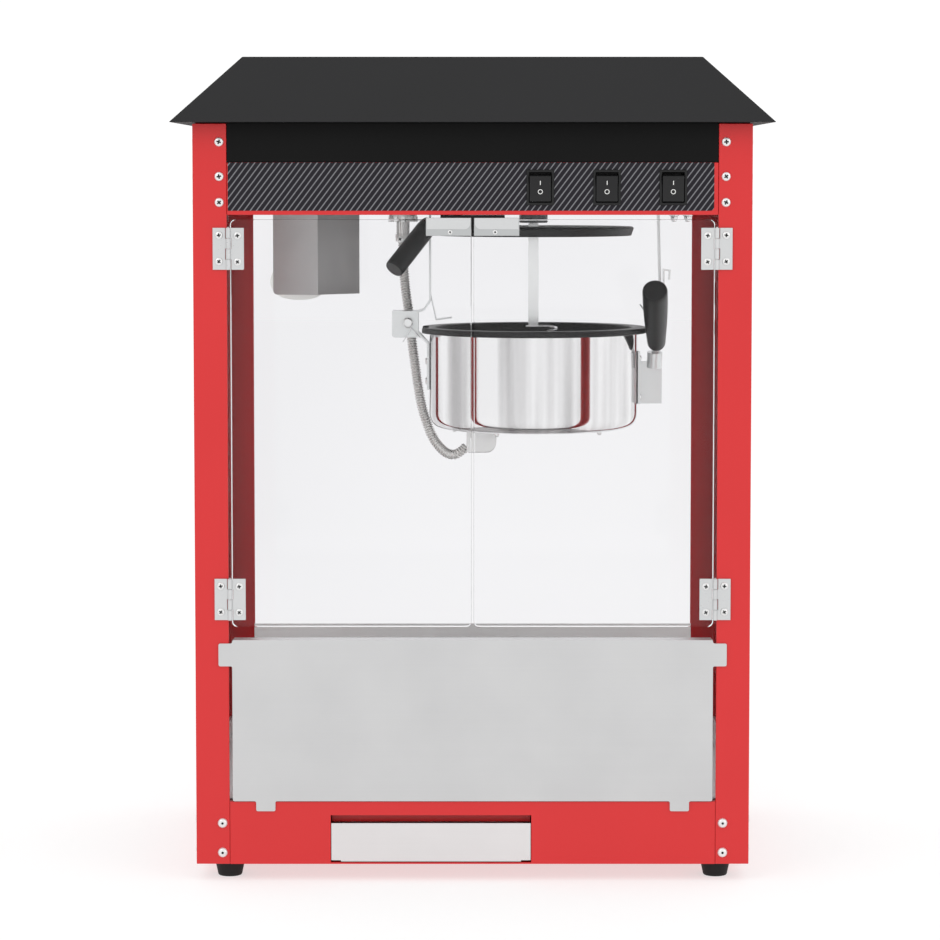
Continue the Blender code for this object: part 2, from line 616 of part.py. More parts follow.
def make_kettle_ear():
    wall = KETTLE.x - JACKET_R - GAP - 0.0010
    strap = folded([(wall, 0.4520), (wall, 0.4980), (PIVOT.x + 0.0035, PIVOT.z - 0.0030)], 0.0020)
    ear = plate("kettle_ear", strap, "XZ", -EAR_HALF, EAR_HALF, "steel")
    knuckle = cylinder("ear_knuckle", PIVOT - Vector((0, EAR_HALF - 0.0002, 0)),
                       PIVOT + Vector((0, EAR_HALF - 0.0002, 0)), 0.0065, segments=20)
    reach = Vector((0, 0.020, 0))
    bore = cylinder("ear_bore", PIVOT - reach, PIVOT + reach, PIN_R + 0.0004)
    return [cut(join(ear, knuckle), bore)]


def make_kettle_handle():
    """Bracket on the kettle's wall, bent up to a grip that leans towards the operator."""
    wall = KETTLE.x + JACKET_R + GAP
    bracket = box("handle_bracket", (wall, -0.0120, 0.4380), (wall + 0.0020, 0.0120, 0.4900), "steel")
    web = box("bracket_web", (wall + 0.0015, -0.0010, 0.4380), (0.1870, 0.0010, 0.4800))
    lean = (GRIP_END - GRIP_ROOT).normalized()
    ferrule = cylinder("bracket_ferrule", (0.1794, 0.0, 0.4740), (0.1800, -0.0030, 0.4890), 0.0075,
                       segments=20)
    route = [(0.1796, -0.0010, 0.4830), GRIP_ROOT - lean * 0.0050, GRIP_ROOT - lean * GAP]
    tang = rod("bracket_tang", route, 0.0040)
    join(bracket, web, ferrule, tang)
    length = (GRIP_END - GRIP_ROOT).length
    profile = [(0.0, length), (0.0108, length), (0.0122, length - 0.0016), (0.0122, 0.55 * length),
               (0.0102, 0.25 * length), (0.0090, 0.0040), (0.0075, 0.0), (0.0, 0.0)]
    grip = turned("kettle_grip", profile, GRIP_ROOT, "black_plastic", up=lean, steps=24)
    return [bracket, grip]


def make_hangers():
    """Straps from the ceiling: the left one ends in the clevis that the kettle tips on."""
    top = RAIL_LOW - GAP - 0.0010
    strap = folded([(-0.0100, top), (-0.0419, top), (-0.0419, 0.5400), (-0.0480, 0.5310),
                    (-0.0545, 0.5290)], 0.0020)
    left = plate("left_hanger", strap, "XZ", -0.0120, 0.0120, "steel")
    clevis = box("clevis_block", (-0.0792, -CLEVIS_OUT, 0.5040), (-0.0534, CLEVIS_OUT, 0.5300))
    slot = box("clevis_slot", (-0.0802, -CLEVIS_IN, 0.5000), (-0.0524, CLEVIS_IN, 0.5280))
    reach = Vector((0, 0.020, 0))
    holes = cylinder("clevis_holes", PIVOT - reach, PIVOT + reach, PIN_R + GAP)
    rest = plate("left_lid_rest", folded([(-0.0414, 0.5460), (-0.0360, 0.5212), (-0.0205, 0.5232)], 0.0012),
                 "XZ", -0.0080, 0.0080)
    cut(clevis, slot, holes)
    join(left, clevis, rest)
    cylinder("kettle_pivot_pin", PIVOT - Vector((0, 0.0215, 0)), PIVOT + Vector((0, 0.0170, 0)), PIN_R,
             "steel")

    strap = folded([(0.2280, top), (0.1838, top), (0.1868, 0.5050)], 0.0020)
    right = plate("right_hanger", strap, "XZ", 0.0060, 0.0260, "steel")
    rest = plate("right_lid_rest", folded([(0.1660, 0.5355), (0.1715, 0.5275), (0.1862, 0.5275)], 0.0012),
                 "XZ", 0.0080, 0.0240)
    join(right, rest)


def make_hanger_latch():
    """Small spring lever on the right hanger, beside the kettle's handle."""
    side = folded([(0.1945, 0.5600), (0.1955, 0.5690), (0.1892, 0.5700), (0.1896, 0.5300),
                   (0.1900, 0.5150)], 0.0014)
    latch = plate("hanger_latch", side, "XZ", 0.0080, 0.0240, "steel")
    return [latch]


def make_lid():
    """Flat lid with a lip that tapers inwards and a grip that points to the operator."""
    x, y = KETTLE.xy
    profile = [(0.0085, LID_HIGH), (LID_R - 0.0015, LID_HIGH), (LID_R, LID_HIGH - 0.0015),
               (LID_FOOT_R, LID_LOW), (LID_FOOT_R - 0.0014, LID_LOW), (LID_R - 0.0016, LID_HIGH - 0.0016),
               (0.0085, LID_HIGH - 0.0016)]
    lid = turned("kettle_lid", profile, KETTLE, "black_coating", steps=40, closed=True)
    outward = Vector((LID_GRIP_ROOT.x - x, LID_GRIP_ROOT.y - y, 0.0)).normalized()
    edge = Vector((x, y, 0.6084)) + outward * (LID_R + 0.0006)
    lean = (LID_GRIP_END - LID_GRIP_ROOT).normalized()
    route = [edge, LID_GRIP_ROOT - lean * 0.0040, LID_GRIP_ROOT - lean * GAP]
    tang = rod("lid_tang", route, 0.0024, "steel")
    length = (LID_GRIP_END - LID_GRIP_ROOT).length
    profile = [(0.0, length), (LID_GRIP_R - 0.0016, length), (LID_GRIP_R, length - 0.0016),
               (LID_GRIP_R, 0.0100), (0.0072, 0.0), (0.0, 0.0)]
    grip = turned("lid_grip", profile, LID_GRIP_ROOT, "black_plastic", up=lean, steps=20)
    return [lid, tang, grip]


# Wiring and lamp

def make_conduit():
    profile = [(0.0, 0.0284), (0.0140, 0.0284), (0.0140, 0.0208), (0.0062, 0.0208), (0.0062, 0.0072),
               (0.0074, 0.0072), (0.0074, 0.0), (0.0, 0.0)]
    low = RAIL_LOW - GAP - 0.0284
    turned("conduit_connector", profile, (CONDUIT_X, CONDUIT_Y, low), "zinc", steps=18)
    rod("kettle_conduit", smooth_route(CONDUIT_ROUTE), CONDUIT_R, "zinc", resolution=2)


def make_lamp():
    """Reflector lamp in its holder, behind a folded guard that is open below."""
    guard = folded([(-0.1970, 0.0030), (-0.1530, 0.0000), (-0.1130, 0.0360)], SHEET)
    plate("lamp_guard", guard, "XY", 0.5455, RAIL_LOW - GAP, "steel")
    bulb = [(0.0, HOLDER_LOW - GAP), (0.0125, HOLDER_LOW - GAP), (0.0140, 0.5900), (0.0250, 0.5730),
            (LAMP_R, 0.5590), (0.0295, 0.5500), (0.0220, 0.5430), (0.0110, 0.5398), (0.0, LAMP_LOW)]
    turned("lamp_bulb", bulb, LAMP, "lamp", steps=24)
    holder = [(0.0, 0.6500), (0.0155, 0.6500), (0.0155, HOLDER_LOW), (0.0, HOLDER_LOW)]
    turned("lamp_holder", holder, LAMP, "black_plastic", steps=20)


# Moving bodies hang from an empty on their joint's axis

def hang(name, axis_point, moving, parent=None):
    pivot = bpy.data.objects.new(name, None)
    pieces.objects.link(pivot)
    pivot.location = axis_point
    bpy.context.view_layer.update()
    if parent:
        pivot.parent = parent
        pivot.matrix_parent_inverse = parent.matrix_world.inverted()
        bpy.context.view_layer.update()
    for piece in moving:
        piece.parent = pivot
        piece.matrix_parent_inverse = pivot.matrix_world.inverted()
    return pivot


make_feet()
make_posts()
make_base_pan()
make_deck()
make_glazing()
make_control_rail()
make_fascia()
make_roof()
make_ceiling()
make_cable_gland()
make_door_catch()
make_gearmotor()
make_hangers()
make_conduit()
make_lamp()
hang("drawer_joint", (0.0, FRONT, FOOT_H), make_drawer())
hang("panel_joint", (0.0, FRONT, DAM_LOW), make_front_panel())
for door_name, door_side in (("left", -1), ("right", 1)):
    hang(f"{door_name}_door_joint", (door_side * HINGE_X, HINGE_Y, DOOR_LOW),
         make_door(door_name, door_side))
for switch_name, switch_x in SWITCHES.items():
    hang(f"{switch_name}_rocker_joint", (switch_x, ROCKER_Y, SWITCH_Z), make_switch(switch_name, switch_x))
hang("stirrer_joint", (KETTLE.x, KETTLE.y, 0.6160), make_drive_shaft())
hang("lid_joint", (KETTLE.x, KETTLE.y, LID_LOW), make_lid())
hang("latch_joint", (0.1893, 0.0160, 0.5640), make_hanger_latch())
kettle_joint = hang("kettle_joint", PIVOT, make_kettle() + make_kettle_ear() + make_kettle_handle())
hang("agitator_joint", (KETTLE.x, KETTLE.y, KETTLE_LOW), make_agitator(), parent=kettle_joint)
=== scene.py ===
"""Popcorn machine: a red sheet-metal cabinet with clear doors, a dark roof and a tilting steel kettle."""

import json
import math

import bmesh
import bpy
from mathutils import Matrix, Vector

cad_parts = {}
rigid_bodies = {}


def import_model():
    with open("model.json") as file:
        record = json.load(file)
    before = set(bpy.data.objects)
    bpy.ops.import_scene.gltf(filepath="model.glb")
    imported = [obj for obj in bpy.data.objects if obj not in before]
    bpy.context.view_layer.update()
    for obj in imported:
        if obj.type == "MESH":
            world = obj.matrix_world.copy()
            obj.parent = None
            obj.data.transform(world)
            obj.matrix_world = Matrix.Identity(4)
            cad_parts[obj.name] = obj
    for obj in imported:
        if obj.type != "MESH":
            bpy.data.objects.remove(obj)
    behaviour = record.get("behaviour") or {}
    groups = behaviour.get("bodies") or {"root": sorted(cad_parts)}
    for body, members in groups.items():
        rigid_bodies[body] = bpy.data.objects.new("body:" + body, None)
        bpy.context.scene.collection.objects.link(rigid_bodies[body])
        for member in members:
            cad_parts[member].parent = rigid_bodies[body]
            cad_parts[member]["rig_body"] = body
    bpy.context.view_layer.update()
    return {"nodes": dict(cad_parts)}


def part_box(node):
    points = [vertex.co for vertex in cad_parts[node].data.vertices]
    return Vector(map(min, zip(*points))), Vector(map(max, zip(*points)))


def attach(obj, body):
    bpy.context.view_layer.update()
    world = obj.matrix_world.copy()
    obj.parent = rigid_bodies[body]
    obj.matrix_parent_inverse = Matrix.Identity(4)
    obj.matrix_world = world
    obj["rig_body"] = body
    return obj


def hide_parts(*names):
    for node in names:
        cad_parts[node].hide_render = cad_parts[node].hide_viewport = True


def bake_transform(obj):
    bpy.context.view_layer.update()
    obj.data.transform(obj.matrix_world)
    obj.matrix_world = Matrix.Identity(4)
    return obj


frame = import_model()


# Camera: a long lens at the height of the control rail, looking a little down from straight in front.

EYE, LOOKS_DOWN = (0.0, -3.290, 0.663), 4.25
FOCAL_LENGTH, SHIFT_X, SHIFT_Y, FAR_CLIP = 127.6, -0.00276, -0.050, 60.0

camera_data = bpy.data.cameras.new("camera")
camera_data.lens = FOCAL_LENGTH
camera_data.shift_x, camera_data.shift_y = SHIFT_X, SHIFT_Y
camera_data.clip_end = FAR_CLIP
camera = bpy.data.objects.new("camera", camera_data)
bpy.context.scene.collection.objects.link(camera)
camera.location = EYE
camera.rotation_euler = (math.radians(90.0 - LOOKS_DOWN), 0.0, 0.0)
bpy.context.scene.camera = camera


# Kettle conduit: a flexible steel hose about 10 mm across, wound from a formed strip, that carries the
# heater's wires from a fitting in the ceiling down to the cap under the kettle. It is held at both ends.

class Shade:
    """An output of a material's nodes. Arithmetic on it adds Math nodes to the same material."""

    def __init__(self, tree, output=None):
        self.tree, self.output = tree, output

    def node(self, kind, settings=(), sockets=(), output=0):
        """Adds one node: its settings first, then the values or links of its sockets."""
        made = self.tree.nodes.new(kind)
        for key, value in dict(settings).items():
            if key == "stops":
                while len(made.color_ramp.elements) < len(value):
                    made.color_ramp.elements.new(0.5)
                for element, (position, colour) in zip(made.color_ramp.elements, value):
                    element.position, element.color = position, colour
            else:
                setattr(made, key, value)
        for key, value in dict(sockets).items():
            if isinstance(value, Shade):
                self.tree.links.new(value.output, made.inputs[key])
            else:
                made.inputs[key].default_value = value
        return Shade(self.tree, made.outputs[output] if made.outputs else None)

    def math(self, operation, left, right=0.0):
        return self.node("ShaderNodeMath", {"operation": operation}, {0: left, 1: right})

    def __add__(self, other):
        return self.math("ADD", self, other)

    def __radd__(self, other):
        return self.math("ADD", other, self)

    def __sub__(self, other):
        return self.math("SUBTRACT", self, other)

    def __mul__(self, other):
        return self.math("MULTIPLY", self, other)

    def __truediv__(self, other):
        return self.math("DIVIDE", self, other)


def chart(red, green, blue):
    """Linear colour of the 0 to 255 numbers on a paint chart."""
    def linear(value):
        value /= 255.0
        return value / 12.92 if value <= 0.04045 else ((value + 0.055) / 1.055) ** 2.4
    return linear(red), linear(green), linear(blue), 1.0


def new_material(name):
    """An empty material, a Shade to build it with and the piece's own coordinates."""
    material = bpy.data.materials.new(name)
    material.use_nodes = True
    material.node_tree.nodes.clear()
    shade = Shade(material.node_tree)
    place = shade.node("ShaderNodeTexCoord", output="Object")
    return material, shade, place


def speckle(shade, place, scale, detail=2.0, stretch=None):
    """Noise on the piece's own coordinates, in cycles per metre; stretch draws it out along an axis."""
    if stretch:
        place = shade.node("ShaderNodeMapping", {}, {"Vector": place, "Scale": stretch})
    return shade.node("ShaderNodeTexNoise", {}, {"Vector": place, "Scale": scale, "Detail": detail})


def blended(shade, factor, first, second):
    """Colour between two colours."""
    return shade.node("ShaderNodeMix", {"data_type": "RGBA"}, {0: factor, 6: first, 7: second}, output=2)


def raised(shade, height, distance):
    """Normal of a surface whose height, from 0 to 1, stands for so many metres."""
    return shade.node("ShaderNodeBump", {}, {"Height": height, "Distance": distance, "Strength": 1.0})


def close_material(shade, **sockets):
    """Ends a material with its Principled shader; a socket's name is given with _ for a space."""
    sockets = {key.replace("_", " "): value for key, value in sockets.items()}
    surface = shade.node("ShaderNodeBsdfPrincipled", {}, sockets)
    shade.node("ShaderNodeOutputMaterial", {}, {"Surface": surface})


def worn_metal(name, light, dark, roughness, grain=260.0, stretch=None, swing=0.10, depth=0.000006,
               metallic=1.0):
    """Bare or plated metal: cloudy in colour, with a grain that runs along the stretch."""
    material, shade, place = new_material(name)
    cloud = speckle(shade, place, 14.0, 3.0)
    lines = speckle(shade, place, grain, 4.0, stretch)
    tone = blended(shade, cloud * 0.70 + lines * 0.30, dark, light)
    close_material(shade, Base_Color=tone, Metallic=metallic,
                   Roughness=roughness + (lines - 0.5) * swing + (cloud - 0.5) * swing * 0.5,
                   Normal=raised(shade, lines, depth))
    return material


def through(points, steps=6):
    """Points of a smooth line that passes through every given point."""
    ends = [points[0]] + list(points) + [points[-1]]
    line = []
    for a, b, c, d in zip(ends, ends[1:], ends[2:], ends[3:]):
        a, b, c, d = Vector(a), Vector(b), Vector(c), Vector(d)
        for step in range(steps):
            t = step / steps
            line.append(0.5 * (2 * b + (c - a) * t + (2 * a - 5 * b + 4 * c - d) * t ** 2
                               + (3 * b - a - 3 * c + d) * t ** 3))
    return line + [Vector(points[-1])]


def evenly(line, pitch):
    """Points a fixed distance apart along a line."""
    spaced, left = [line[0].copy()], pitch
    for a, b in zip(line, line[1:]):
        span = (b - a).length
        done = 0.0
        while span - done >= left:
            done += left
            spaced.append(a.lerp(b, done / span))
            left = pitch
        left -= span - done
    return spaced


def swept(line, radii, sides=16):
    """Round tube along a line, with a radius for each point, and closed ends."""
    shape = bmesh.new()
    side = Vector((0.0, 1.0, 0.0))
    rings = []
    for i, point in enumerate(line):
        along = (line[min(i + 1, len(line) - 1)] - line[max(i - 1, 0)]).normalized()
        side = (side - along * side.dot(along)).normalized()
        made = bmesh.ops.create_circle(shape, segments=sides, radius=radii[i])["verts"]
        turn = Matrix((side, along.cross(side), along)).transposed().to_4x4()
        bmesh.ops.transform(shape, matrix=Matrix.Translation(point) @ turn, verts=made)
        rings.append(made)
    for first, second in zip(rings, rings[1:]):
        for k in range(sides):
            shape.faces.new((first[k], first[(k + 1) % sides], second[(k + 1) % sides], second[k]))
    shape.faces.new(rings[0])
    shape.faces.new(rings[-1])
    bmesh.ops.recalc_face_normals(shape, faces=shape.faces)
    return shape


def mesh_of(shape, name="part"):
    """Mesh data of a finished shape, which is used up."""
    mesh = bpy.data.meshes.new(name)
    shape.to_mesh(mesh)
    shape.free()
    return mesh


def piece_of(name, shape, material, body=None, stands_for=(), crease=32.0):
    """Makes a piece of a finished shape, smooth but for its creases, and hangs it on its body."""
    mesh = mesh_of(shape, name)
    mesh.materials.append(material)
    mesh.polygons.foreach_set("use_smooth", [True] * len(mesh.polygons))
    mesh.set_sharp_from_angle(angle=math.radians(crease))
    piece = bpy.data.objects.new(name, mesh)
    bpy.context.scene.collection.objects.link(piece)
    if body:
        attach(piece, body)
    if stands_for:
        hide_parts(*stands_for)
    return piece


CONDUIT_ROUTE = [
    (-0.0690, 0.0225, 0.5973), (-0.0690, 0.0225, 0.5800), (-0.0665, 0.0225, 0.5500),
    (-0.0630, 0.0225, 0.5250), (-0.0605, 0.0225, 0.5000), (-0.0572, 0.0225, 0.4750),
    (-0.0536, 0.0225, 0.4500), (-0.0490, 0.0215, 0.4280), (-0.0400, 0.0160, 0.4040),
    (-0.0290, 0.0080, 0.3905), (-0.0190, 0.0020, 0.3870), (-0.0110, 0.0000, 0.3910),
    (-0.0062, 0.0000, 0.3955),
]
CONDUIT_R, RING_PITCH, RING_DEPTH = 0.0050, 0.0026, 0.0022
RING_SHAPE = (0.0, 0.42, 0.50, 0.46, 0.10)

conduit_line = evenly(through(CONDUIT_ROUTE), RING_PITCH / len(RING_SHAPE))
conduit_line.append(Vector(CONDUIT_ROUTE[-1]))
conduit_radii = [CONDUIT_R + RING_DEPTH * (RING_SHAPE[i % len(RING_SHAPE)] - 0.5)
                 for i in range(len(conduit_line))]
conduit_metal = worn_metal("wound_strip", chart(226, 224, 222), chart(188, 187, 186), 0.34,
                           grain=500.0, metallic=0.72)
conduit = piece_of("wound_conduit", swept(conduit_line, conduit_radii), conduit_metal,
                   stands_for=["kettle_conduit"], crease=60.0)
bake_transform(conduit)
conduit_length = sum((b - a).length for a, b in zip(conduit_line, conduit_line[1:]))


# Red cabinet: folded steel sheet, 1 to 2 mm thick, powder-coated a warm signal red with the faint
# ripple of a baked coat. The four posts, the base pan and the rail round the top are all of it.

def sharp_edges(shape, angle):
    """Edges where two faces meet at more than an angle in degrees."""
    return [edge for edge in shape.edges
            if len(edge.link_faces) == 2 and edge.calc_face_angle(0.0) > math.radians(angle)]


def eased(shape, edges, width, segments):
    """Rounds some edges of a shape, or bevels them flat with one segment."""
    bmesh.ops.bevel(shape, geom=edges, offset=width, offset_type="OFFSET", affect="EDGES",
                    segments=segments, profile=0.5, material=-1, clamp_overlap=True)


def copy_of(node, edge, segments, corners):
    """A CAD node's own shape as one skin, its flat faces whole and its sharp edges rounded. Corners are
    an axis, a radius, a length and a test of where: shorter edges along that axis are rounded that much."""
    shape = bmesh.new()
    shape.from_mesh(frame["nodes"][node].data)
    bmesh.ops.remove_doubles(shape, verts=shape.verts, dist=0.00001)
    bmesh.ops.dissolve_limit(shape, angle_limit=math.radians(0.6), verts=shape.verts, edges=shape.edges,
                             use_dissolve_boundaries=False, delimit=set())
    if corners:
        axis, radius, longest, chosen = corners
        plan = []
        for one in sharp_edges(shape, 60.0):
            run = one.verts[1].co - one.verts[0].co
            if run.length < longest and abs(run[axis]) > 0.80 * run.length and chosen(one.verts[0].co):
                plan.append(one)
        eased(shape, plan, radius, 5)
    eased(shape, sharp_edges(shape, 34.0), edge, segments)
    return shape


def refined(name, node, material, edge=0.0004, segments=2, corners=None):
    """The CAD node with rounded edges and its own finish, in the CAD node's stead."""
    shape = copy_of(node, edge, segments, corners)
    piece = piece_of(name, shape, material, frame["nodes"][node]["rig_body"], [node])
    flat = piece.modifiers.new("flat faces", "WEIGHTED_NORMAL")
    flat.weight, flat.keep_sharp = 100, True  # the greatest weight, so that large faces stay flat
    return piece


def powder_coat(name, light, dark, roughness, ripple, fine=0.0, coat=0.0, shine=0.35):
    """Baked powder coat: even colour with a slow drift, orange-peel ripple and perhaps a fine grit."""
    material, shade, place = new_material(name)
    drift = speckle(shade, place, 7.0, 2.0)
    peel = speckle(shade, place, 420.0, 2.0)
    grit = speckle(shade, place, 2600.0, 1.0)
    close_material(shade, Base_Color=blended(shade, drift * 0.8 + grit * 0.2, dark, light),
                   Specular_IOR_Level=shine,
                   Roughness=roughness + (drift - 0.5) * 0.10 + (grit - 0.5) * 0.08,
                   Coat_Weight=coat, Coat_Roughness=0.12,
                   Normal=raised(shade, peel * ripple + grit * fine, 0.001))
    return material


red_coat = powder_coat("red_powder_coat", chart(213, 39, 41), chart(203, 34, 36), 0.38, 0.018, coat=0.18)
CORNERS = ("front_left", "front_right", "rear_left", "rear_right")
for corner in CORNERS:
    refined(f"{corner}_corner_post", f"{corner}_post", red_coat, 0.0007, 3)
refined("red_base_pan", "base_pan", red_coat, 0.0006)
refined("red_control_rail", "control_rail", red_coat, 0.0006)


# Cabinet fasteners: zinc-plated cross-recess screws hold the rail and the roof band to the posts, and
# dome rivets hold the base pan. They are on both faces of every post.

def spun(profile, centre=(0.0, 0.0, 0.0), axis=(0.0, 0.0, 1.0), steps=64, closed=False):
    """Turns a profile of (radius, height) pairs round an axis; a closed one is a ring."""
    centre, along = Vector(centre), Vector(axis).normalized()
    out = along.orthogonal().normalized()
    shape = bmesh.new()
    ring = [shape.verts.new(centre + out * radius + along * height) for radius, height in profile]
    pairs = list(zip(ring, ring[1:])) + ([(ring[-1], ring[0])] if closed else [])
    edges = [shape.edges.new(pair) for pair in pairs]
    bmesh.ops.spin(shape, geom=ring + edges, cent=centre, axis=along, angle=math.tau, steps=steps,
                   use_merge=True)
    bmesh.ops.remove_doubles(shape, verts=shape.verts, dist=0.000001)
    bmesh.ops.recalc_face_normals(shape, faces=shape.faces)
    return shape


def block(low, high, shape=None):
    """Box between two corners."""
    shape = shape or bmesh.new()
    low, high = Vector(low), Vector(high)
    size = Matrix.Diagonal((*(high - low), 1.0))
    bmesh.ops.create_cube(shape, size=1.0, matrix=Matrix.Translation((low + high) / 2) @ size)
    return shape


def carved(body, cutter):
    """What is left of one shape when another is cut out of it."""
    objects = [bpy.data.objects.new("blank", mesh_of(shape)) for shape in (body, cutter)]
    for blank in objects:
        bpy.context.scene.collection.objects.link(blank)
    cut = objects[0].modifiers.new("cut", "BOOLEAN")
    cut.operation, cut.solver, cut.object, cut.use_self = "DIFFERENCE", "EXACT", objects[1], True
    bpy.context.view_layer.update()
    left = bpy.data.meshes.new_from_object(objects[0].evaluated_get(bpy.context.evaluated_depsgraph_get()))
    shape = bmesh.new()
    shape.from_mesh(left)
    for blank in objects:
        bpy.data.objects.remove(blank)
    return shape


def drawn_out(outline, step):
    """Solid between a flat outline of points and the same outline a step further."""
    shape = bmesh.new()
    face = shape.faces.new([shape.verts.new(point) for point in outline])
    grown = bmesh.ops.extrude_face_region(shape, geom=[face])
    moved = [vert for vert in grown["geom"] if isinstance(vert, bmesh.types.BMVert)]
    bmesh.ops.translate(shape, vec=step, verts=moved)
    bmesh.ops.recalc_face_normals(shape, faces=shape.faces)
    return shape


def cross(low, high, width=0.17, reach=0.50):
    """Solid cross between two heights. Width is half an arm's width, and reach is half of its span."""
    a, b = width, reach
    corners = [(a, b), (-a, b), (-a, a), (-b, a), (-b, -a), (-a, -a), (-a, -b), (a, -b), (a, -a), (b, -a),
               (b, a), (a, a)]
    return drawn_out([(x, y, low) for x, y in corners], (0, 0, high - low))


def screw_head():
    """Pan head of radius 1 that stands on z 0, with a cross recess."""
    head = spun([(0.0, -0.15), (0.92, -0.15), (1.0, 0.0), (0.98, 0.16), (0.86, 0.34), (0.62, 0.45),
                 (0.32, 0.50), (0.0, 0.51)], steps=28)
    return carved(head, cross(0.14, 0.80))


def screws(name, places, body):
    """Cross-recess screws in one piece, with a dark piece that paints the shade in their recesses."""
    piece_of(name, studded(screw_head(), places), screw_zinc, body, crease=24.0)
    # Dark crosses just under each head's top face: painted shade in the cross recesses.
    painted_recess_shade = studded(cross(0.05, 0.30, 0.165, 0.49), places)
    piece_of(f"{name}_recess", painted_recess_shade, recess_shade, body, crease=1.0)


def rivet_head():
    """Dome of radius 1 with a small dimple."""
    return spun([(0.0, -0.15), (0.94, -0.15), (1.0, 0.0), (0.93, 0.24), (0.74, 0.42), (0.46, 0.52),
                 (0.27, 0.54), (0.23, 0.48), (0.22, 0.02), (0.0, 0.0)], steps=24)


def studded(head, places):
    """Copies of one head; a place is a centre, the way it faces, a turn in degrees and a radius."""
    mesh = mesh_of(head)
    shape = bmesh.new()
    for centre, facing, turn, radius in places:
        start = len(shape.verts)
        shape.from_mesh(mesh)
        shape.verts.ensure_lookup_table()
        lie = Vector(facing).to_track_quat("Z", "Y").to_matrix().to_4x4()
        matrix = (Matrix.Translation(centre) @ lie @ Matrix.Rotation(math.radians(turn), 4, "Z")
                  @ Matrix.Scale(radius, 4))
        bmesh.ops.transform(shape, matrix=matrix, verts=shape.verts[start:])
    bpy.data.meshes.remove(mesh)
    return shape


screw_zinc = worn_metal("bright_zinc", chart(244, 244, 242), chart(216, 216, 217), 0.30, grain=900.0,
                        metallic=0.75)
# A dark colour that paints the shade in the screws' cross recesses and the rivets' holes.
recess_shade = worn_metal("recess_shade", chart(46, 46, 47), chart(28, 28, 29), 0.6, grain=900.0,
                          metallic=0.3)
POST_SCREW_IN, SIDE_SCREW_IN = 0.0247, 0.0230
POST_SCREW_HEIGHTS, POST_RIVET_HEIGHTS = (0.6940, 0.6620, 0.6380), (0.0550, 0.0270)
POST_SCREW_R, POST_RIVET_R = 0.0043, 0.0047
post_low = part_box("front_left_post")[0]
edge_x, edge_y = abs(post_low.x), abs(post_low.y)
post_places = {height: [] for height in POST_SCREW_HEIGHTS + POST_RIVET_HEIGHTS}
for side_x in (-1, 1):
    for side_y in (-1, 1):
        for number, height in enumerate(post_places):
            turn = 17.0 + 29.0 * number + 11.0 * side_x + 23.0 * side_y  # no two stop alike
            head_r = POST_SCREW_R if height in POST_SCREW_HEIGHTS else POST_RIVET_R
            post_places[height].append(((side_x * (edge_x - POST_SCREW_IN), side_y * edge_y, height),
                                        (0, side_y, 0), turn, head_r))
            post_places[height].append(((side_x * edge_x, side_y * (edge_y - SIDE_SCREW_IN), height),
                                        (side_x, 0, 0), turn + 37.0, head_r))
screws("post_screws", sum((post_places[h] for h in POST_SCREW_HEIGHTS), []), "cabinet")
rivet_places = sum((post_places[h] for h in POST_RIVET_HEIGHTS), [])
piece_of("post_rivets", studded(rivet_head(), rivet_places), screw_zinc, "cabinet")
# Dark plugs in the rivets' dimples: painted shade in their holes.
hole_shade = spun([(0.0, 0.04), (0.20, 0.04), (0.20, 0.30), (0.0, 0.30)], steps=16)
piece_of("post_rivet_hole_shade", studded(hole_shade, rivet_places), recess_shade, "cabinet")


# Roof: one dark hipped cover of folded sheet with a fine matt texture, on a plain dark band. The ceiling
# plate under them is bright sheet.

roof_coat = powder_coat("matt_charcoal_coat", chart(40, 40, 41), chart(31, 31, 32), 0.62, 0.010, 0.030,
                        shine=0.20)
band_coat = powder_coat("dark_band_coat", chart(20, 20, 20), chart(15, 15, 15), 0.60, 0.010, 0.022,
                        shine=0.10)
refined("roof_hood", "roof_cover", roof_coat, 0.0011, 3)
refined("dark_fascia", "fascia_band", band_coat, 0.0006)
ROLLED = (8.0, 90.0, 2200.0)  # cycles per metre of a mill finish that runs from side to side
dull_steel = worn_metal("brushed_sheet", chart(226, 226, 225), chart(204, 204, 204), 0.33,
                        grain=1.0, stretch=ROLLED, depth=0.00002)
refined("bright_ceiling", "ceiling_plate", dull_steel, 0.0003)


# Control strip: a printed polycarbonate label along the front of the rail, near black with thin grey
# diagonal lines and a rounded lower corner.

STRIPE_LEAN, STRIPE_PITCH = math.radians(53.0), 0.0058
STRIP_LEFT, STRIP_RIGHT, STRIP_FOOT, STRIP_CORNER_R = -0.2273, 0.2243, 0.6303, 0.0035
STRIP_T, GLUE_T, BEZEL_LIP = 0.00033, 0.00002, 0.0015


def stripe_print(name):
    """Thin diagonal lines on a near-black ground."""
    material, shade, place = new_material(name)
    parts = shade.node("ShaderNodeSeparateXYZ", {}, {"Vector": place})
    x, z = parts, Shade(shade.tree, parts.output.node.outputs[2])
    pitch = STRIPE_PITCH * math.sin(STRIPE_LEAN)
    across = (x * math.sin(STRIPE_LEAN) - z * math.cos(STRIPE_LEAN)) / pitch
    ramp = shade.math("PINGPONG", across, 0.5) * 2.0
    line = shade.node("ShaderNodeMapRange", {"interpolation_type": "SMOOTHSTEP"},
                      {"Value": ramp, "From Min": 0.72, "From Max": 0.86})
    weave = speckle(shade, place, 1500.0, 1.0)
    ink = blended(shade, weave * 0.5, chart(24, 22, 29), chart(34, 31, 39))
    grey = blended(shade, weave, chart(104, 104, 108), chart(142, 142, 146))
    close_material(shade, Base_Color=blended(shade, line, ink, grey), Specular_IOR_Level=0.2,
                   Roughness=0.34 + (weave - 0.5) * 0.10,
                   Normal=raised(shade, line * 0.05 + weave * 0.02, 0.001))
    return material


def outlined(corners, low, high):
    """Plate of an outline given as (x, z) pairs, between two depths along Y."""
    return drawn_out([(x, low, z) for x, z in corners], (0, high - low, 0))


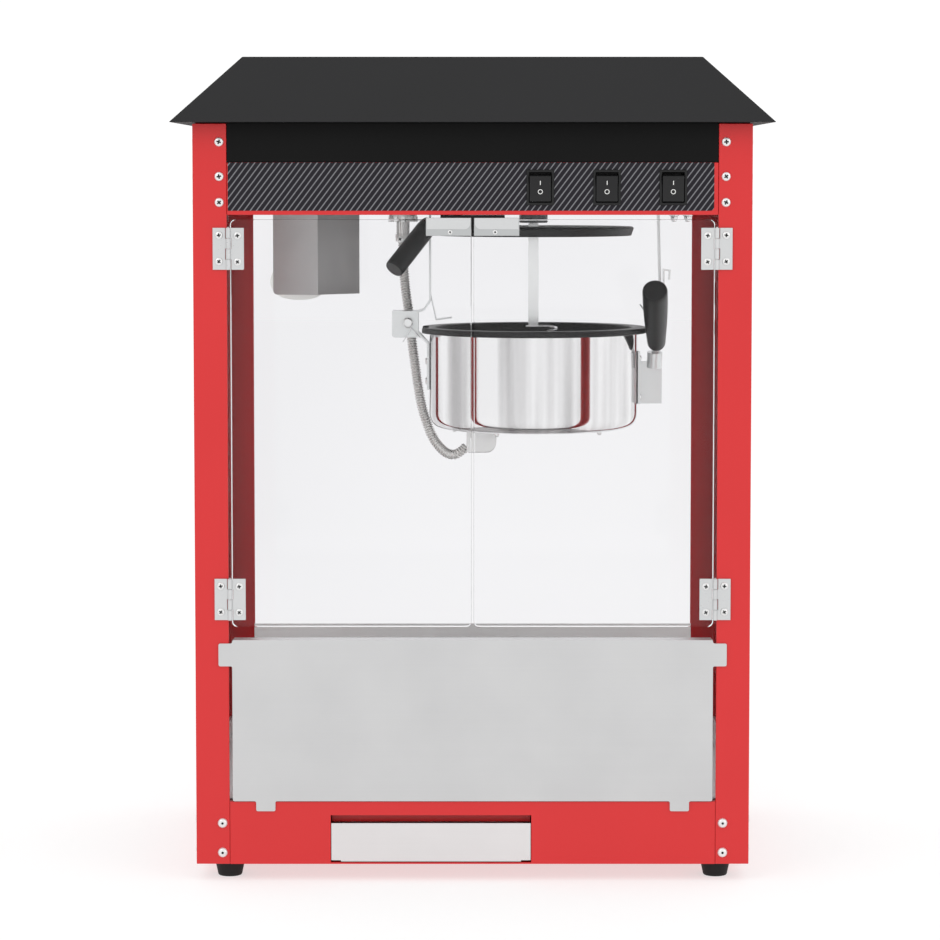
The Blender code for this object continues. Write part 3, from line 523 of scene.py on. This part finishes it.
def round_corners(low, high, radii, steps=6):
    """Rectangle's outline with a radius for each corner, from the lower left one round."""
    (x0, z0), (x1, z1) = low, high
    spots = [(x0, z0, 180), (x1, z0, 270), (x1, z1, 0), (x0, z1, 90)]
    outline = []
    for (x, z, start), radius in zip(spots, radii):
        cx = x + radius * (1 if x == x0 else -1)
        cz = z + radius * (1 if z == z0 else -1)
        for step in range(steps + 1 if radius else 1):
            turn = math.radians(start + 90.0 * step / steps)
            outline.append((cx + radius * math.cos(turn), cz + radius * math.sin(turn)))
    return outline


rail_low, rail_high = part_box("control_rail")
front_y = rail_low.y
strip_outline = round_corners((STRIP_LEFT, STRIP_FOOT), (STRIP_RIGHT, rail_high.z - 0.0001),
                              (0, STRIP_CORNER_R, 0, 0))
strip = outlined(strip_outline, front_y - GLUE_T - STRIP_T, front_y - GLUE_T)
windows = bmesh.new()
for switch in ("light", "heat", "stir"):
    low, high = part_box(f"{switch}_switch_housing")
    block((low.x + BEZEL_LIP, front_y - 0.002, low.z + BEZEL_LIP),
          (high.x - BEZEL_LIP, front_y + 0.002, high.z - BEZEL_LIP), windows)
piece_of("striped_control_strip", carved(strip, windows), stripe_print("striped_label"), "cabinet",
         crease=1.0)


# Rubber feet: black moulded cones that narrow to a rounded sole, one screwed under each corner of the
# base pan.

def softened(corners, radius, steps=5):
    """A profile with its inner corners rounded, each as far as its neighbours allow."""
    line = [tuple(corners[0])]
    for before, at, after in zip(corners, corners[1:], corners[2:]):
        before, at, after = Vector(before), Vector(at), Vector(after)
        into, out = (at - before), (after - at)
        reach = min(radius, into.length * 0.45, out.length * 0.45)
        a, b = at - into.normalized() * reach, at + out.normalized() * reach
        for step in range(steps + 1):
            t = step / steps
            line.append(tuple(a * (1 - t) ** 2 + at * 2 * t * (1 - t) + b * t ** 2))
    return line + [tuple(corners[-1])]


def moulded(name, light, dark, roughness, grain=700.0, depth=0.000012):
    """Rubber or plastic from a mould: nearly even colour with a fine matt grain."""
    material, shade, place = new_material(name)
    cloud = speckle(shade, place, 30.0, 2.0)
    fine = speckle(shade, place, grain, 3.0)
    close_material(shade, Base_Color=blended(shade, cloud * 0.8 + fine * 0.2, dark, light),
                   Specular_IOR_Level=0.30,
                   Roughness=roughness + (fine - 0.5) * 0.16 + (cloud - 0.5) * 0.08,
                   Normal=raised(shade, fine, depth))
    return material


foot_rubber = moulded("foot_rubber", chart(34, 33, 33), chart(20, 20, 20), 0.66)
for corner in CORNERS:
    low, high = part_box(f"{corner}_foot")
    middle, top, foot_r = (low + high) / 2, high.z - low.z, (high.x - low.x) / 2
    profile = softened([(0.0, 0.0004), (0.0045, 0.0004), (0.0050, 0.0), (foot_r * 0.77, 0.0), (foot_r, top),
                        (0.0, top)], 0.0016)
    piece_of(f"{corner}_rubber_foot", spun(profile, (middle.x, middle.y, low.z), steps=48), foot_rubber,
             "cabinet", [f"{corner}_foot"])


# Popcorn deck, dam panel and kernel drawer: stainless sheet with a fine horizontal brush. The dam panel
# hangs in front by two ears and two tabs, and the drawer pulls out under it by its upper edge, where a
# hem of the red base shows in the finger gap.

deck_steel = worn_metal("satin_sheet", chart(232, 231, 231), chart(214, 213, 213), 0.42,
                        grain=1.0, stretch=ROLLED, metallic=0.55)
refined("perforated_deck", "popcorn_deck", deck_steel, 0.0002, 1)
BRUSHED = (5.0, 400.0, 3000.0)  # cycles per metre of a finer brush, which runs the same way
panel_steel = worn_metal("brushed_stainless", chart(212, 212, 212), chart(194, 194, 195), 0.32,
                         grain=1.0, stretch=BRUSHED, depth=0.000010, swing=0.08)
refined("dam_panel", "front_panel", panel_steel, 0.0006, 3,
        corners=(1, 0.0016, 0.0060, lambda at: True))
tray_steel = worn_metal("tray_stainless", chart(230, 227, 227), chart(216, 213, 213), 0.34,
                        grain=1.0, stretch=BRUSHED, depth=0.000010, swing=0.08)
refined("kernel_tray", "kernel_drawer", tray_steel, 0.0005, 3,
        corners=(1, 0.0022, 0.0060, lambda at: at.y < -0.185))
HEM_FRONT, HEM_BACK, HEM_FOOT, HEM_TOP, HEM_GAP = -0.1772, -0.1764, 0.0541, 0.0646, 0.0004
low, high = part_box("kernel_drawer")
hem = block((low.x + HEM_GAP, HEM_FRONT, HEM_FOOT), (high.x - HEM_GAP, HEM_BACK, HEM_TOP))
piece_of("drawer_slot_hem", hem, red_coat, "cabinet")


# Windows and doors: clear polycarbonate 4 mm thick with polished edges, the rear one slightly smoked.
# Light from the lamps goes straight through, so that what is inside is lit.

DOOR_CORNER_R, DOOR_EDGE = 0.0050, 0.0008


def clear_sheet(name, deep, pale):
    """Clear sheet whose tint drifts between two colours."""
    material, shade, place = new_material(name)
    haze = speckle(shade, place, 2.4, 0.0)
    glass = shade.node("ShaderNodeBsdfPrincipled", {}, {
        "Base Color": blended(shade, haze, deep, pale), "Roughness": 0.0, "IOR": 1.22,
        "Transmission Weight": 1.0})
    passing = shade.node("ShaderNodeBsdfTransparent", {}, {"Color": (0.97, 0.97, 0.97, 1.0)})
    lamp_ray = shade.node("ShaderNodeLightPath", output="Is Shadow Ray")
    both = shade.node("ShaderNodeMixShader", {}, {0: lamp_ray, 1: glass, 2: passing})
    shade.node("ShaderNodeOutputMaterial", {}, {"Surface": both})
    return material


clear = clear_sheet("clear_polycarbonate", (0.970, 0.975, 0.978, 1.0), (1.0, 1.0, 1.0, 1.0))
smoky = clear_sheet("tinted_polycarbonate", (0.800, 0.795, 0.812, 1.0), (0.920, 0.915, 0.926, 1.0))
for window in ("left_window", "right_window", "rear_window"):
    low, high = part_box(window)
    piece_of(f"clear_{window}", block(low, high), smoky if window == "rear_window" else clear, "cabinet",
             [window], crease=1.0)
for side in ("left", "right"):
    low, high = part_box(f"{side}_door")
    pane = outlined(round_corners((low.x, low.z), (high.x, high.z), (DOOR_CORNER_R,) * 4), low.y, high.y)
    eased(pane, sharp_edges(pane, 50.0), DOOR_EDGE, 1)
    piece_of(f"clear_{side}_door", pane, clear, f"{side}_door", [f"{side}_door"], crease=1.0)


# Hinges: pressed steel butt hinges, two to a door, with rolled knuckles on a pin and two cross-recess
# screws in each leaf.

hinge_steel = worn_metal("hinge_steel", chart(216, 217, 217), chart(198, 199, 200), 0.30, grain=600.0,
                         metallic=0.85)
LEAF_FACE_Y, LEAF_SCREW_IN, LEAF_SCREW_LIFT, LEAF_SCREW_R = -0.1915, 0.0108, 0.0122, 0.0037
for level in ("upper", "lower"):
    for side in ("left", "right"):
        for part in ("post", "door"):
            node = f"{level}_{side}_{part}_leaf"
            body = frame["nodes"][node]["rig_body"]
            refined(f"{level}_{side}_{part}_hinge_leaf", node, hinge_steel, 0.0002, 2)
            low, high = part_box(node)
            knuckle_is_low = (part == "door") == (side == "left")
            x = low.x + LEAF_SCREW_IN if knuckle_is_low else high.x - LEAF_SCREW_IN
            middle = (low.z + high.z) / 2
            places = [((x, LEAF_FACE_Y, middle + lift), (0, -1, 0),
                       31.0 + 140.0 * (lift > 0) + 20.0 * (side == "left"), LEAF_SCREW_R)
                      for lift in (-LEAF_SCREW_LIFT, LEAF_SCREW_LIFT)]
            screws(f"{level}_{side}_{part}_hinge_screws", places, body)


# Door strikes and their catch: a bent steel plate with a bright cover, screwed to the top of each door,
# which a magnet under the rail holds shut.

catch_plastic = moulded("catch_plastic", chart(44, 44, 45), chart(30, 30, 31), 0.42, 600.0)
refined("door_magnet_catch", "magnet_catch", catch_plastic, 0.0006)
strike_dark = worn_metal("strike_plate_steel", chart(196, 198, 198), chart(176, 178, 179), 0.30,
                         grain=1.0, stretch=(30.0, 60.0, 1500.0))
STRIKE_COVER_H, STRIKE_COVER_CORNER_R, STRIKE_SCREW_IN, STRIKE_SCREW_R = 0.0105, 0.0055, 0.0225, 0.0023
for side in ("left", "right"):
    node = f"{side}_door_strike"
    refined(f"{side}_strike_plate", node, strike_dark, 0.0003)
    low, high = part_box(node)
    left = side == "left"
    radii = (0.0, STRIKE_COVER_CORNER_R, 0.0, 0.0) if left else (STRIKE_COVER_CORNER_R, 0.0, 0.0, 0.0)
    cover_outline = round_corners((low.x + 0.0008, high.z - STRIKE_COVER_H),
                                  (high.x - 0.0008, high.z - 0.0002), radii)
    cover = outlined(cover_outline, low.y - 0.0008, low.y - 0.00005)
    piece_of(f"{side}_strike_cover", cover, hinge_steel, f"{side}_door")
    screw_x = low.x + STRIKE_SCREW_IN if left else high.x - STRIKE_SCREW_IN
    places = [((screw_x, low.y, low.z + 0.0034), (0, -1, 0), 24.0 if left else -24.0, STRIKE_SCREW_R)]
    screws(f"{side}_strike_screw", places, f"{side}_door")


# Rocker switches: a glossy black bezel snapped into the rail with a matt rocker in it, dished on its face
# and marked with the usual white line and ring.

bezel_plastic = moulded("bezel_plastic", chart(24, 24, 25), chart(17, 17, 18), 0.30, 900.0)
rocker_plastic = moulded("rocker_plastic", chart(28, 28, 29), chart(21, 21, 22), 0.38, 900.0)
white_mark = moulded("white_mark", chart(242, 242, 240), chart(225, 225, 222), 0.50)
ROCKER_PIVOT_Y, ROCKER_PIVOT_Z, ROCKER_TILT = -0.1860, 0.6518, math.radians(8.0)
for switch in ("light", "heat", "stir"):
    refined(f"{switch}_switch_bezel", f"{switch}_switch_housing", bezel_plastic, 0.0009, 3)
    low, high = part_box(f"{switch}_rocker")
    x, half_w = (low.x + high.x) / 2, (high.x - low.x) / 2
    profile = [(-0.0123, 0.0), (-0.0122, -0.0078)]
    for step in range(13):
        t = step / 12.0
        profile.append((-0.0117 + 0.0234 * t, -0.0092 + 0.0026 * (1 - (2 * t - 1) ** 2)))
    profile += [(0.0122, -0.0078), (0.0123, 0.0), (0.0, 0.0060)]
    rocker = drawn_out([(-half_w, y, z) for z, y in profile], (2 * half_w, 0, 0))
    eased(rocker, sharp_edges(rocker, 50.0), 0.0006, 3)
    pivot = Matrix.Translation((x, ROCKER_PIVOT_Y, ROCKER_PIVOT_Z))
    tilt = pivot @ Matrix.Rotation(ROCKER_TILT, 4, "X")
    bmesh.ops.transform(rocker, matrix=tilt, verts=rocker.verts)
    piece_of(f"{switch}_switch_rocker", rocker, rocker_plastic, f"{switch}_rocker", [f"{switch}_rocker"],
             crease=40.0)
    marks = block((-0.00035, -0.00822, 0.0036), (0.00035, -0.00772, 0.0074))
    marks.from_mesh(mesh_of(spun([(0.0017, 0.0), (0.0023, 0.0), (0.0023, 0.0004), (0.0017, 0.0004)],
                                 (0.0, -0.00706, -0.0029), (0.0, -1.0, 0.0), steps=32, closed=True)))
    bmesh.ops.transform(marks, matrix=tilt, verts=marks.verts)
    piece_of(f"{switch}_switch_marks", marks, white_mark, f"{switch}_rocker", crease=1.0)


# Stirrer: a gearmotor over the ceiling turns a flat bright bar, whose bent finger pushes the wire
# agitator round in the pan.

bright_steel = worn_metal("bright_steel", chart(236, 236, 236), chart(206, 206, 207), 0.20, grain=700.0)
cast_metal = worn_metal("cast_metal", chart(168, 168, 170), chart(128, 128, 131), 0.46, grain=500.0)
refined("stirring_gearmotor", "gearmotor", cast_metal, 0.0010)
refined("stirring_bar", "drive_shaft", bright_steel, 0.0003)
refined("wire_agitator", "agitator", bright_steel, 0.0003)


# Kettle: a spun steel jacket polished like a mirror, round a coated pan with a rolled black rim, which is
# notched at the pivot. Under it a folded cap covers the heater's terminals, and acorn nuts hold its plate.

polished, shade, place = new_material("polished_steel")
# Vertical light and dark bands in the base colour are painted reflections of the surroundings; the swirl
# only roughens and bumps the steel.
reflection_bands = speckle(shade, place, 1.0, 2.0, (46.0, 30.0, 1.2))
swirl = speckle(shade, place, 1.0, 3.0, (60.0, 60.0, 1400.0))
painted_reflection = shade.node("ShaderNodeMapRange", {}, {"Value": reflection_bands, "From Min": 0.34, "From Max": 0.62})
close_material(shade, Base_Color=blended(shade, painted_reflection, chart(180, 178, 179), chart(236, 235, 236)),
               Metallic=1.0, Roughness=0.055 + swirl * 0.05, Normal=raised(shade, swirl, 0.000004))

KETTLE_X, KETTLE_R, SHELL_T = 0.060, 0.1027, 0.0015
bottom, top = (corner.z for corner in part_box("kettle_shell"))
outside = softened([(0.0, bottom), (KETTLE_R, bottom), (KETTLE_R, bottom + 0.040)], 0.0165, 12)[:-1]
inside = softened([(KETTLE_R - SHELL_T, bottom + 0.030), (KETTLE_R - SHELL_T, bottom + SHELL_T),
                   (0.0, bottom + SHELL_T)], 0.0150, 10)[1:]
lip = [(KETTLE_R, top - 0.0005), (KETTLE_R - 0.0004, top), (KETTLE_R - 0.0011, top),
       (KETTLE_R - SHELL_T, top - 0.0005)]
jacket = spun(outside + lip + inside, (KETTLE_X, 0.0, 0.0), steps=160)
piece_of("polished_kettle", jacket, polished, "kettle", ["kettle_shell"])

coating = moulded("pan_coating", chart(24, 24, 25), chart(15, 15, 16), 0.40, 500.0)
pan_low, pan_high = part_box("kettle_pan")
PAN_R, PAN_T, NOTCH_HALF_W = 0.0985, 0.0015, 0.0225
RIM_R = pan_high.x - KETTLE_X
rim_low = pan_high.z - 0.0057
inside = softened([(0.0, pan_low.z + PAN_T), (PAN_R - PAN_T, pan_low.z + PAN_T),
                   (PAN_R - PAN_T, pan_high.z - 0.0030)], 0.0140, 8)[:-1]
rim = softened([(PAN_R - PAN_T, pan_high.z - 0.0060), (PAN_R - PAN_T, pan_high.z), (RIM_R, pan_high.z),
                (RIM_R, rim_low), (PAN_R, rim_low), (PAN_R, rim_low - 0.010)], 0.0016, 4)[1:-1]
outside = softened([(PAN_R, rim_low - 0.020), (PAN_R, pan_low.z), (0.0, pan_low.z)], 0.0140, 8)
pan = spun(inside + rim + outside, (KETTLE_X, 0.0, 0.0), steps=144)
notch = block((KETTLE_X - RIM_R - 0.010, -NOTCH_HALF_W, rim_low - 0.0030),
              (KETTLE_X - KETTLE_R - 0.0005, NOTCH_HALF_W, pan_high.z + 0.0030))
piece_of("coated_pan", carved(pan, notch), coating, "kettle", ["kettle_pan"])

cap_steel = worn_metal("cap_steel", chart(228, 227, 227), chart(206, 205, 205), 0.32, grain=400.0,
                       metallic=0.8)
low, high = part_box("terminal_cap")
cap_outline = round_corners((low.x, low.z), (high.x, high.z), (0.0030, 0.0100, 0.0010, 0.0010))
cover = outlined(cap_outline, low.y, high.y)
eased(cover, sharp_edges(cover, 50.0), 0.0016, 3)
piece_of("terminal_cover", cover, cap_steel, "kettle", ["terminal_cap"])


def acorn_nut():
    """Acorn nut of radius 1 on its washer, standing on z 0."""
    shape = spun([(0.0, 0.0), (1.25, 0.0), (1.25, 0.16), (0.0, 0.16)], steps=32)
    made = bmesh.ops.create_cone(shape, cap_ends=True, segments=6, radius1=1.0, radius2=1.0, depth=0.8,
                                 matrix=Matrix.Translation((0, 0, 0.56)))["verts"]
    eased(shape, [edge for edge in shape.edges if edge.verts[0] in made], 0.08, 2)
    dome = softened([(0.0, 0.90), (0.80, 0.90), (0.80, 1.30), (0.55, 1.62), (0.0, 1.66)], 0.3, 4)
    shape.from_mesh(mesh_of(spun(dome, steps=32)))
    return shape


NUT_CIRCLE_R, BOTTOM_NUT_R, NUT_ANGLES = 0.078, 0.0026, (-118.0, -35.0, 90.0, 180.0)
places = [((KETTLE_X + NUT_CIRCLE_R * math.cos(turn), NUT_CIRCLE_R * math.sin(turn), bottom + 0.0003),
           (0, 0, -1), 0.0, BOTTOM_NUT_R) for turn in (math.radians(angle) for angle in NUT_ANGLES)]
piece_of("kettle_bottom_nuts", studded(acorn_nut(), places), bright_steel, "kettle")


# Kettle ear, pivot and handle: plated straps riveted to the jacket, a pin through the clevis with a wire
# clip in it, and a tapered black grip that leans towards the operator.

strap_steel = worn_metal("plated_strap", chart(224, 225, 225), chart(200, 202, 203), 0.30, grain=450.0,
                         metallic=0.85)
black_grip = moulded("black_phenolic", chart(26, 26, 27), chart(18, 18, 19), 0.36, 420.0)
refined("riveted_ear", "kettle_ear", strap_steel, 0.0003)
EAR_RIVET_X, EAR_RIVET_HEIGHTS, EAR_RIVET_R = KETTLE_X - KETTLE_R - 0.0023, (0.4605, 0.4800), 0.0036
places = [((EAR_RIVET_X, 0.0, height), (-1, 0, 0), 0.0, EAR_RIVET_R) for height in EAR_RIVET_HEIGHTS]
piece_of("ear_rivets", studded(rivet_head(), places), bright_steel, "kettle")
refined("handle_stay", "handle_bracket", strap_steel, 0.0003,
        corners=(1, 0.0030, 0.0030, lambda at: at.x > 0.180))
STAY_RIVET_X, STAY_RIVET_OUT, STAY_RIVET_R = 0.1650, 0.0075, 0.0028
STAY_RIVET_HEIGHTS = (0.4450, 0.4835)
places = [((STAY_RIVET_X, y, height), (1, 0, 0), 0.0, STAY_RIVET_R)
          for y in (-STAY_RIVET_OUT, STAY_RIVET_OUT) for height in STAY_RIVET_HEIGHTS]
piece_of("handle_rivets", studded(rivet_head(), places), bright_steel, "kettle")


def grip_shape(root, end, profile, steps=72):
    """Turned grip from its root to its end, from (radius, share of the length) pairs."""
    root, end = Vector(root), Vector(end)
    length = (end - root).length
    return spun([(radius, share * length) for radius, share in profile], root, end - root, steps)


GRIP_ROOT, GRIP_END = (0.1812, -0.0080, 0.4965), (0.1754, -0.0840, 0.5530)
grip_line = through([(0.0080, 0.010, 0), (0.0089, 0.05, 0), (0.0098, 0.20, 0), (0.0112, 0.45, 0),
                     (0.0121, 0.75, 0), (0.0122, 0.93, 0)], 4)
profile = [(0.0, 0.0), (0.0066, 0.0)] + [(p.x, p.y) for p in grip_line]
profile += [(0.0122, 0.972), (0.0119, 0.990), (0.0113, 1.0), (0.0, 1.0)]
piece_of("tapered_kettle_grip", grip_shape(GRIP_ROOT, GRIP_END, profile), black_grip, "kettle",
         ["kettle_grip"])
refined("pivot_pin", "kettle_pivot_pin", bright_steel, 0.0006)


PIN_X, PIN_Z, CLIP_WIRE_R = -0.0636, 0.5186, 0.0006


def clip_wire(points):
    """Bent wire through points given as (x, z) from the pin, and y."""
    line = through([(PIN_X + x, y, PIN_Z + z) for x, y, z in points], 6)
    return swept(line, [CLIP_WIRE_R] * len(line), 10)


clip = clip_wire([(-0.0016, -0.0168, 0.0036), (0.0016, -0.0182, -0.0030), (0.0062, -0.0190, -0.0082),
                  (0.0118, -0.0188, -0.0146)])
lower_arm = clip_wire([(0.0030, -0.0182, -0.0056), (-0.0008, -0.0184, -0.0124),
                       (-0.0050, -0.0182, -0.0186)])
collar = spun([(0.0042, 0.0), (0.0048, 0.0006), (0.0042, 0.0012), (0.0036, 0.0006)],
              (PIN_X, -0.0206, PIN_Z), (0, -1, 0), steps=36, closed=True)
for part in (lower_arm, collar):
    clip.from_mesh(mesh_of(part))
piece_of("pin_clip", clip, bright_steel, "cabinet")


# Hangers: plated straps bolted to the ceiling. The left one is folded into the clevis that carries the
# kettle, and the right one keeps the latch and its bolts.

refined("clevis_hanger", "left_hanger", strap_steel, 0.0003,
        corners=(1, 0.0028, 0.0060, lambda at: at.x < -0.070))
refined("latch_hanger", "right_hanger", strap_steel, 0.0003)
refined("latch_hook", "hanger_latch", bright_steel, 0.0002)
HANGER_NUT_XS, HANGER_NUT_Y, HANGER_NUT_R, FLANGE_T = (0.1995, 0.2130), 0.016, 0.0040, 0.0024
flange_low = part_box("right_hanger")[1].z - FLANGE_T
places = [((x, HANGER_NUT_Y, flange_low), (0, 0, -1), 12.0 * number, HANGER_NUT_R)
          for number, x in enumerate(HANGER_NUT_XS)]
piece_of("hanger_nuts", studded(acorn_nut(), places), bright_steel, "cabinet")


# Lid: a flat pressed disc with the pan's coating, raised on the stirring bar. A steel tang at its edge
# carries a turned black grip.

refined("raised_lid", "kettle_lid", coating, 0.0004)
refined("lid_grip_tang", "lid_tang", strap_steel, 0.0002)
LID_GRIP_ROOT, LID_GRIP_END = (-0.0405, -0.0670, 0.6175), (-0.0753, -0.1000, 0.5733)
profile = [(0.0, 0.0), (0.0062, 0.0), (0.0076, 0.012), (0.0088, 0.060), (0.0094, 0.16), (0.0095, 0.50),
           (0.0095, 0.95), (0.0093, 0.985), (0.0087, 1.0), (0.0, 1.0)]
piece_of("round_lid_grip", grip_shape(LID_GRIP_ROOT, LID_GRIP_END, profile), black_grip, "lid",
         ["lid_grip"])


# Conduit fitting: a ribbed zinc body under the ceiling, held by a lock nut with lugs. A screw in its side
# clamps the hose's upper end.

refined("conduit_fitting", "conduit_connector", conduit_metal, 0.0004)
fitting_low, fitting_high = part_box("conduit_connector")
axis_x, axis_y = (fitting_low.x + fitting_high.x) / 2, (fitting_low.y + fitting_high.y) / 2
on_axis = Matrix.Translation((axis_x, axis_y, 0.0))
nut_lug = (12, (0.0105, -0.0019, 0.6172), (0.0146, 0.0019, 0.6224))
body_rib = (18, (0.0056, -0.0005, 0.6058), (0.0066, 0.0005, 0.6172))
lugs = bmesh.new()
for count, low, high in (nut_lug, body_rib):
    for number in range(count):
        start = len(lugs.verts)
        block(low, high, lugs)
        lugs.verts.ensure_lookup_table()
        turned = on_axis @ Matrix.Rotation(math.tau * number / count, 4, "Z")
        bmesh.ops.transform(lugs, matrix=turned, verts=lugs.verts[start:])
piece_of("conduit_lock_nut_lugs", lugs, screw_zinc, "cabinet", crease=1.0)
screws("conduit_clamp_screw", [((axis_x - 0.0030, axis_y - 0.0072, 0.6000), (0, -1, 0), 40.0, 0.0034)],
       "cabinet")


# Lamp: a frosted reflector bulb of blown glass in a black holder under the ceiling, behind a guard folded
# of dull steel, which keeps it from the operator's hands.

guard_steel = worn_metal("guard_steel", chart(190, 188, 188), chart(150, 148, 149), 0.34,
                         grain=1.0, stretch=(40.0, 40.0, 1200.0))
refined("folded_lamp_guard", "lamp_guard", guard_steel, 0.0003,
        corners=(1, 0.0042, 0.0040, lambda at: at.z < 0.560 and at.x < -0.180))
holder_plastic = moulded("holder_plastic", chart(40, 40, 41), chart(28, 28, 29), 0.4)
refined("bulb_holder", "lamp_holder", holder_plastic, 0.0010)
frosted, shade, place = new_material("frosted_bulb")
frost = speckle(shade, place, 900.0, 2.0)
close_material(shade, Base_Color=blended(shade, frost, chart(236, 236, 232), chart(250, 250, 248)),
               Roughness=0.42 + frost * 0.2, Normal=raised(shade, frost, 0.00003))
low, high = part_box("lamp_bulb")
bulb_line = through([(0.0, low.z, 0), (0.0105, low.z + 0.0008, 0), (0.0205, low.z + 0.0042, 0),
                     (0.0272, low.z + 0.0112, 0), (0.0288, low.z + 0.0200, 0), (0.0236, low.z + 0.0345, 0),
                     (0.0142, low.z + 0.0515, 0), (0.0125, high.z, 0)], 6)
LAMP_X, LAMP_Y = -0.173, 0.038
profile = [(max(p.x, 0.0), p.y) for p in bulb_line] + [(0.0, high.z)]
piece_of("frosted_lamp", spun(profile, (LAMP_X, LAMP_Y, 0.0), steps=72), frosted, "cabinet",
         ["lamp_bulb"])


# Cable gland: moulded black nylon, screwed into the back of the rail, where the mains lead would leave
# the cabinet.

gland_nylon = moulded("gland_nylon", chart(38, 38, 39), chart(26, 26, 27), 0.45, 600.0)
refined("nylon_gland", "cable_gland", gland_nylon, 0.0008)


# Stage: a plain pale floor that glows a little, so that it meets the white surroundings without a line,
# and soft white light from all round.

WORLD_LIGHT, FLOOR_HALF, FLOOR_GREY, FLOOR_GLOW = 1.06, 12.0, 0.40, 0.62

world = bpy.data.worlds.new("studio")
world.use_nodes = True
world.node_tree.nodes["Background"].inputs[0].default_value = (1.0, 1.0, 1.0, 1.0)
world.node_tree.nodes["Background"].inputs[1].default_value = WORLD_LIGHT
bpy.context.scene.world = world
bpy.context.scene.view_settings.view_transform = "Standard"

floor_shape = bmesh.new()
bmesh.ops.create_grid(floor_shape, x_segments=1, y_segments=1, size=FLOOR_HALF)
floor_mesh = mesh_of(floor_shape, "floor")
floor = bpy.data.objects.new("floor", floor_mesh)
bpy.context.scene.collection.objects.link(floor)
floor_material, shade, place = new_material("pale_floor")
close_material(shade, Base_Color=(FLOOR_GREY, FLOOR_GREY, FLOOR_GREY, 1.0), Roughness=0.7,
               Specular_IOR_Level=0.0, Emission_Color=(1.0, 1.0, 1.0, 1.0), Emission_Strength=FLOOR_GLOW)
floor_mesh.materials.append(floor_material)


def softbox(name, place, aim, size, power):
    """Rectangular lamp at a place, turned to what it lights; its power is in watts."""
    lamp = bpy.data.lights.new(name, "AREA")
    lamp.shape, lamp.size, lamp.size_y, lamp.energy = "RECTANGLE", size[0], size[1], power
    holder = bpy.data.objects.new(name, lamp)
    bpy.context.scene.collection.objects.link(holder)
    holder.location = place
    holder.rotation_euler = (Vector(aim) - Vector(place)).to_track_quat("-Z", "Y").to_euler()


softbox("key", (-1.6, -2.2, 2.2), (0.0, 0.0, 0.4), (1.4, 1.4), 6.0)
softbox("fill", (1.9, -2.0, 1.4), (0.0, 0.0, 0.4), (1.2, 1.6), 4.0)
softbox("back", (0.0, 2.0, 1.6), (0.0, 0.3, 0.3), (2.4, 1.6), 2.0)
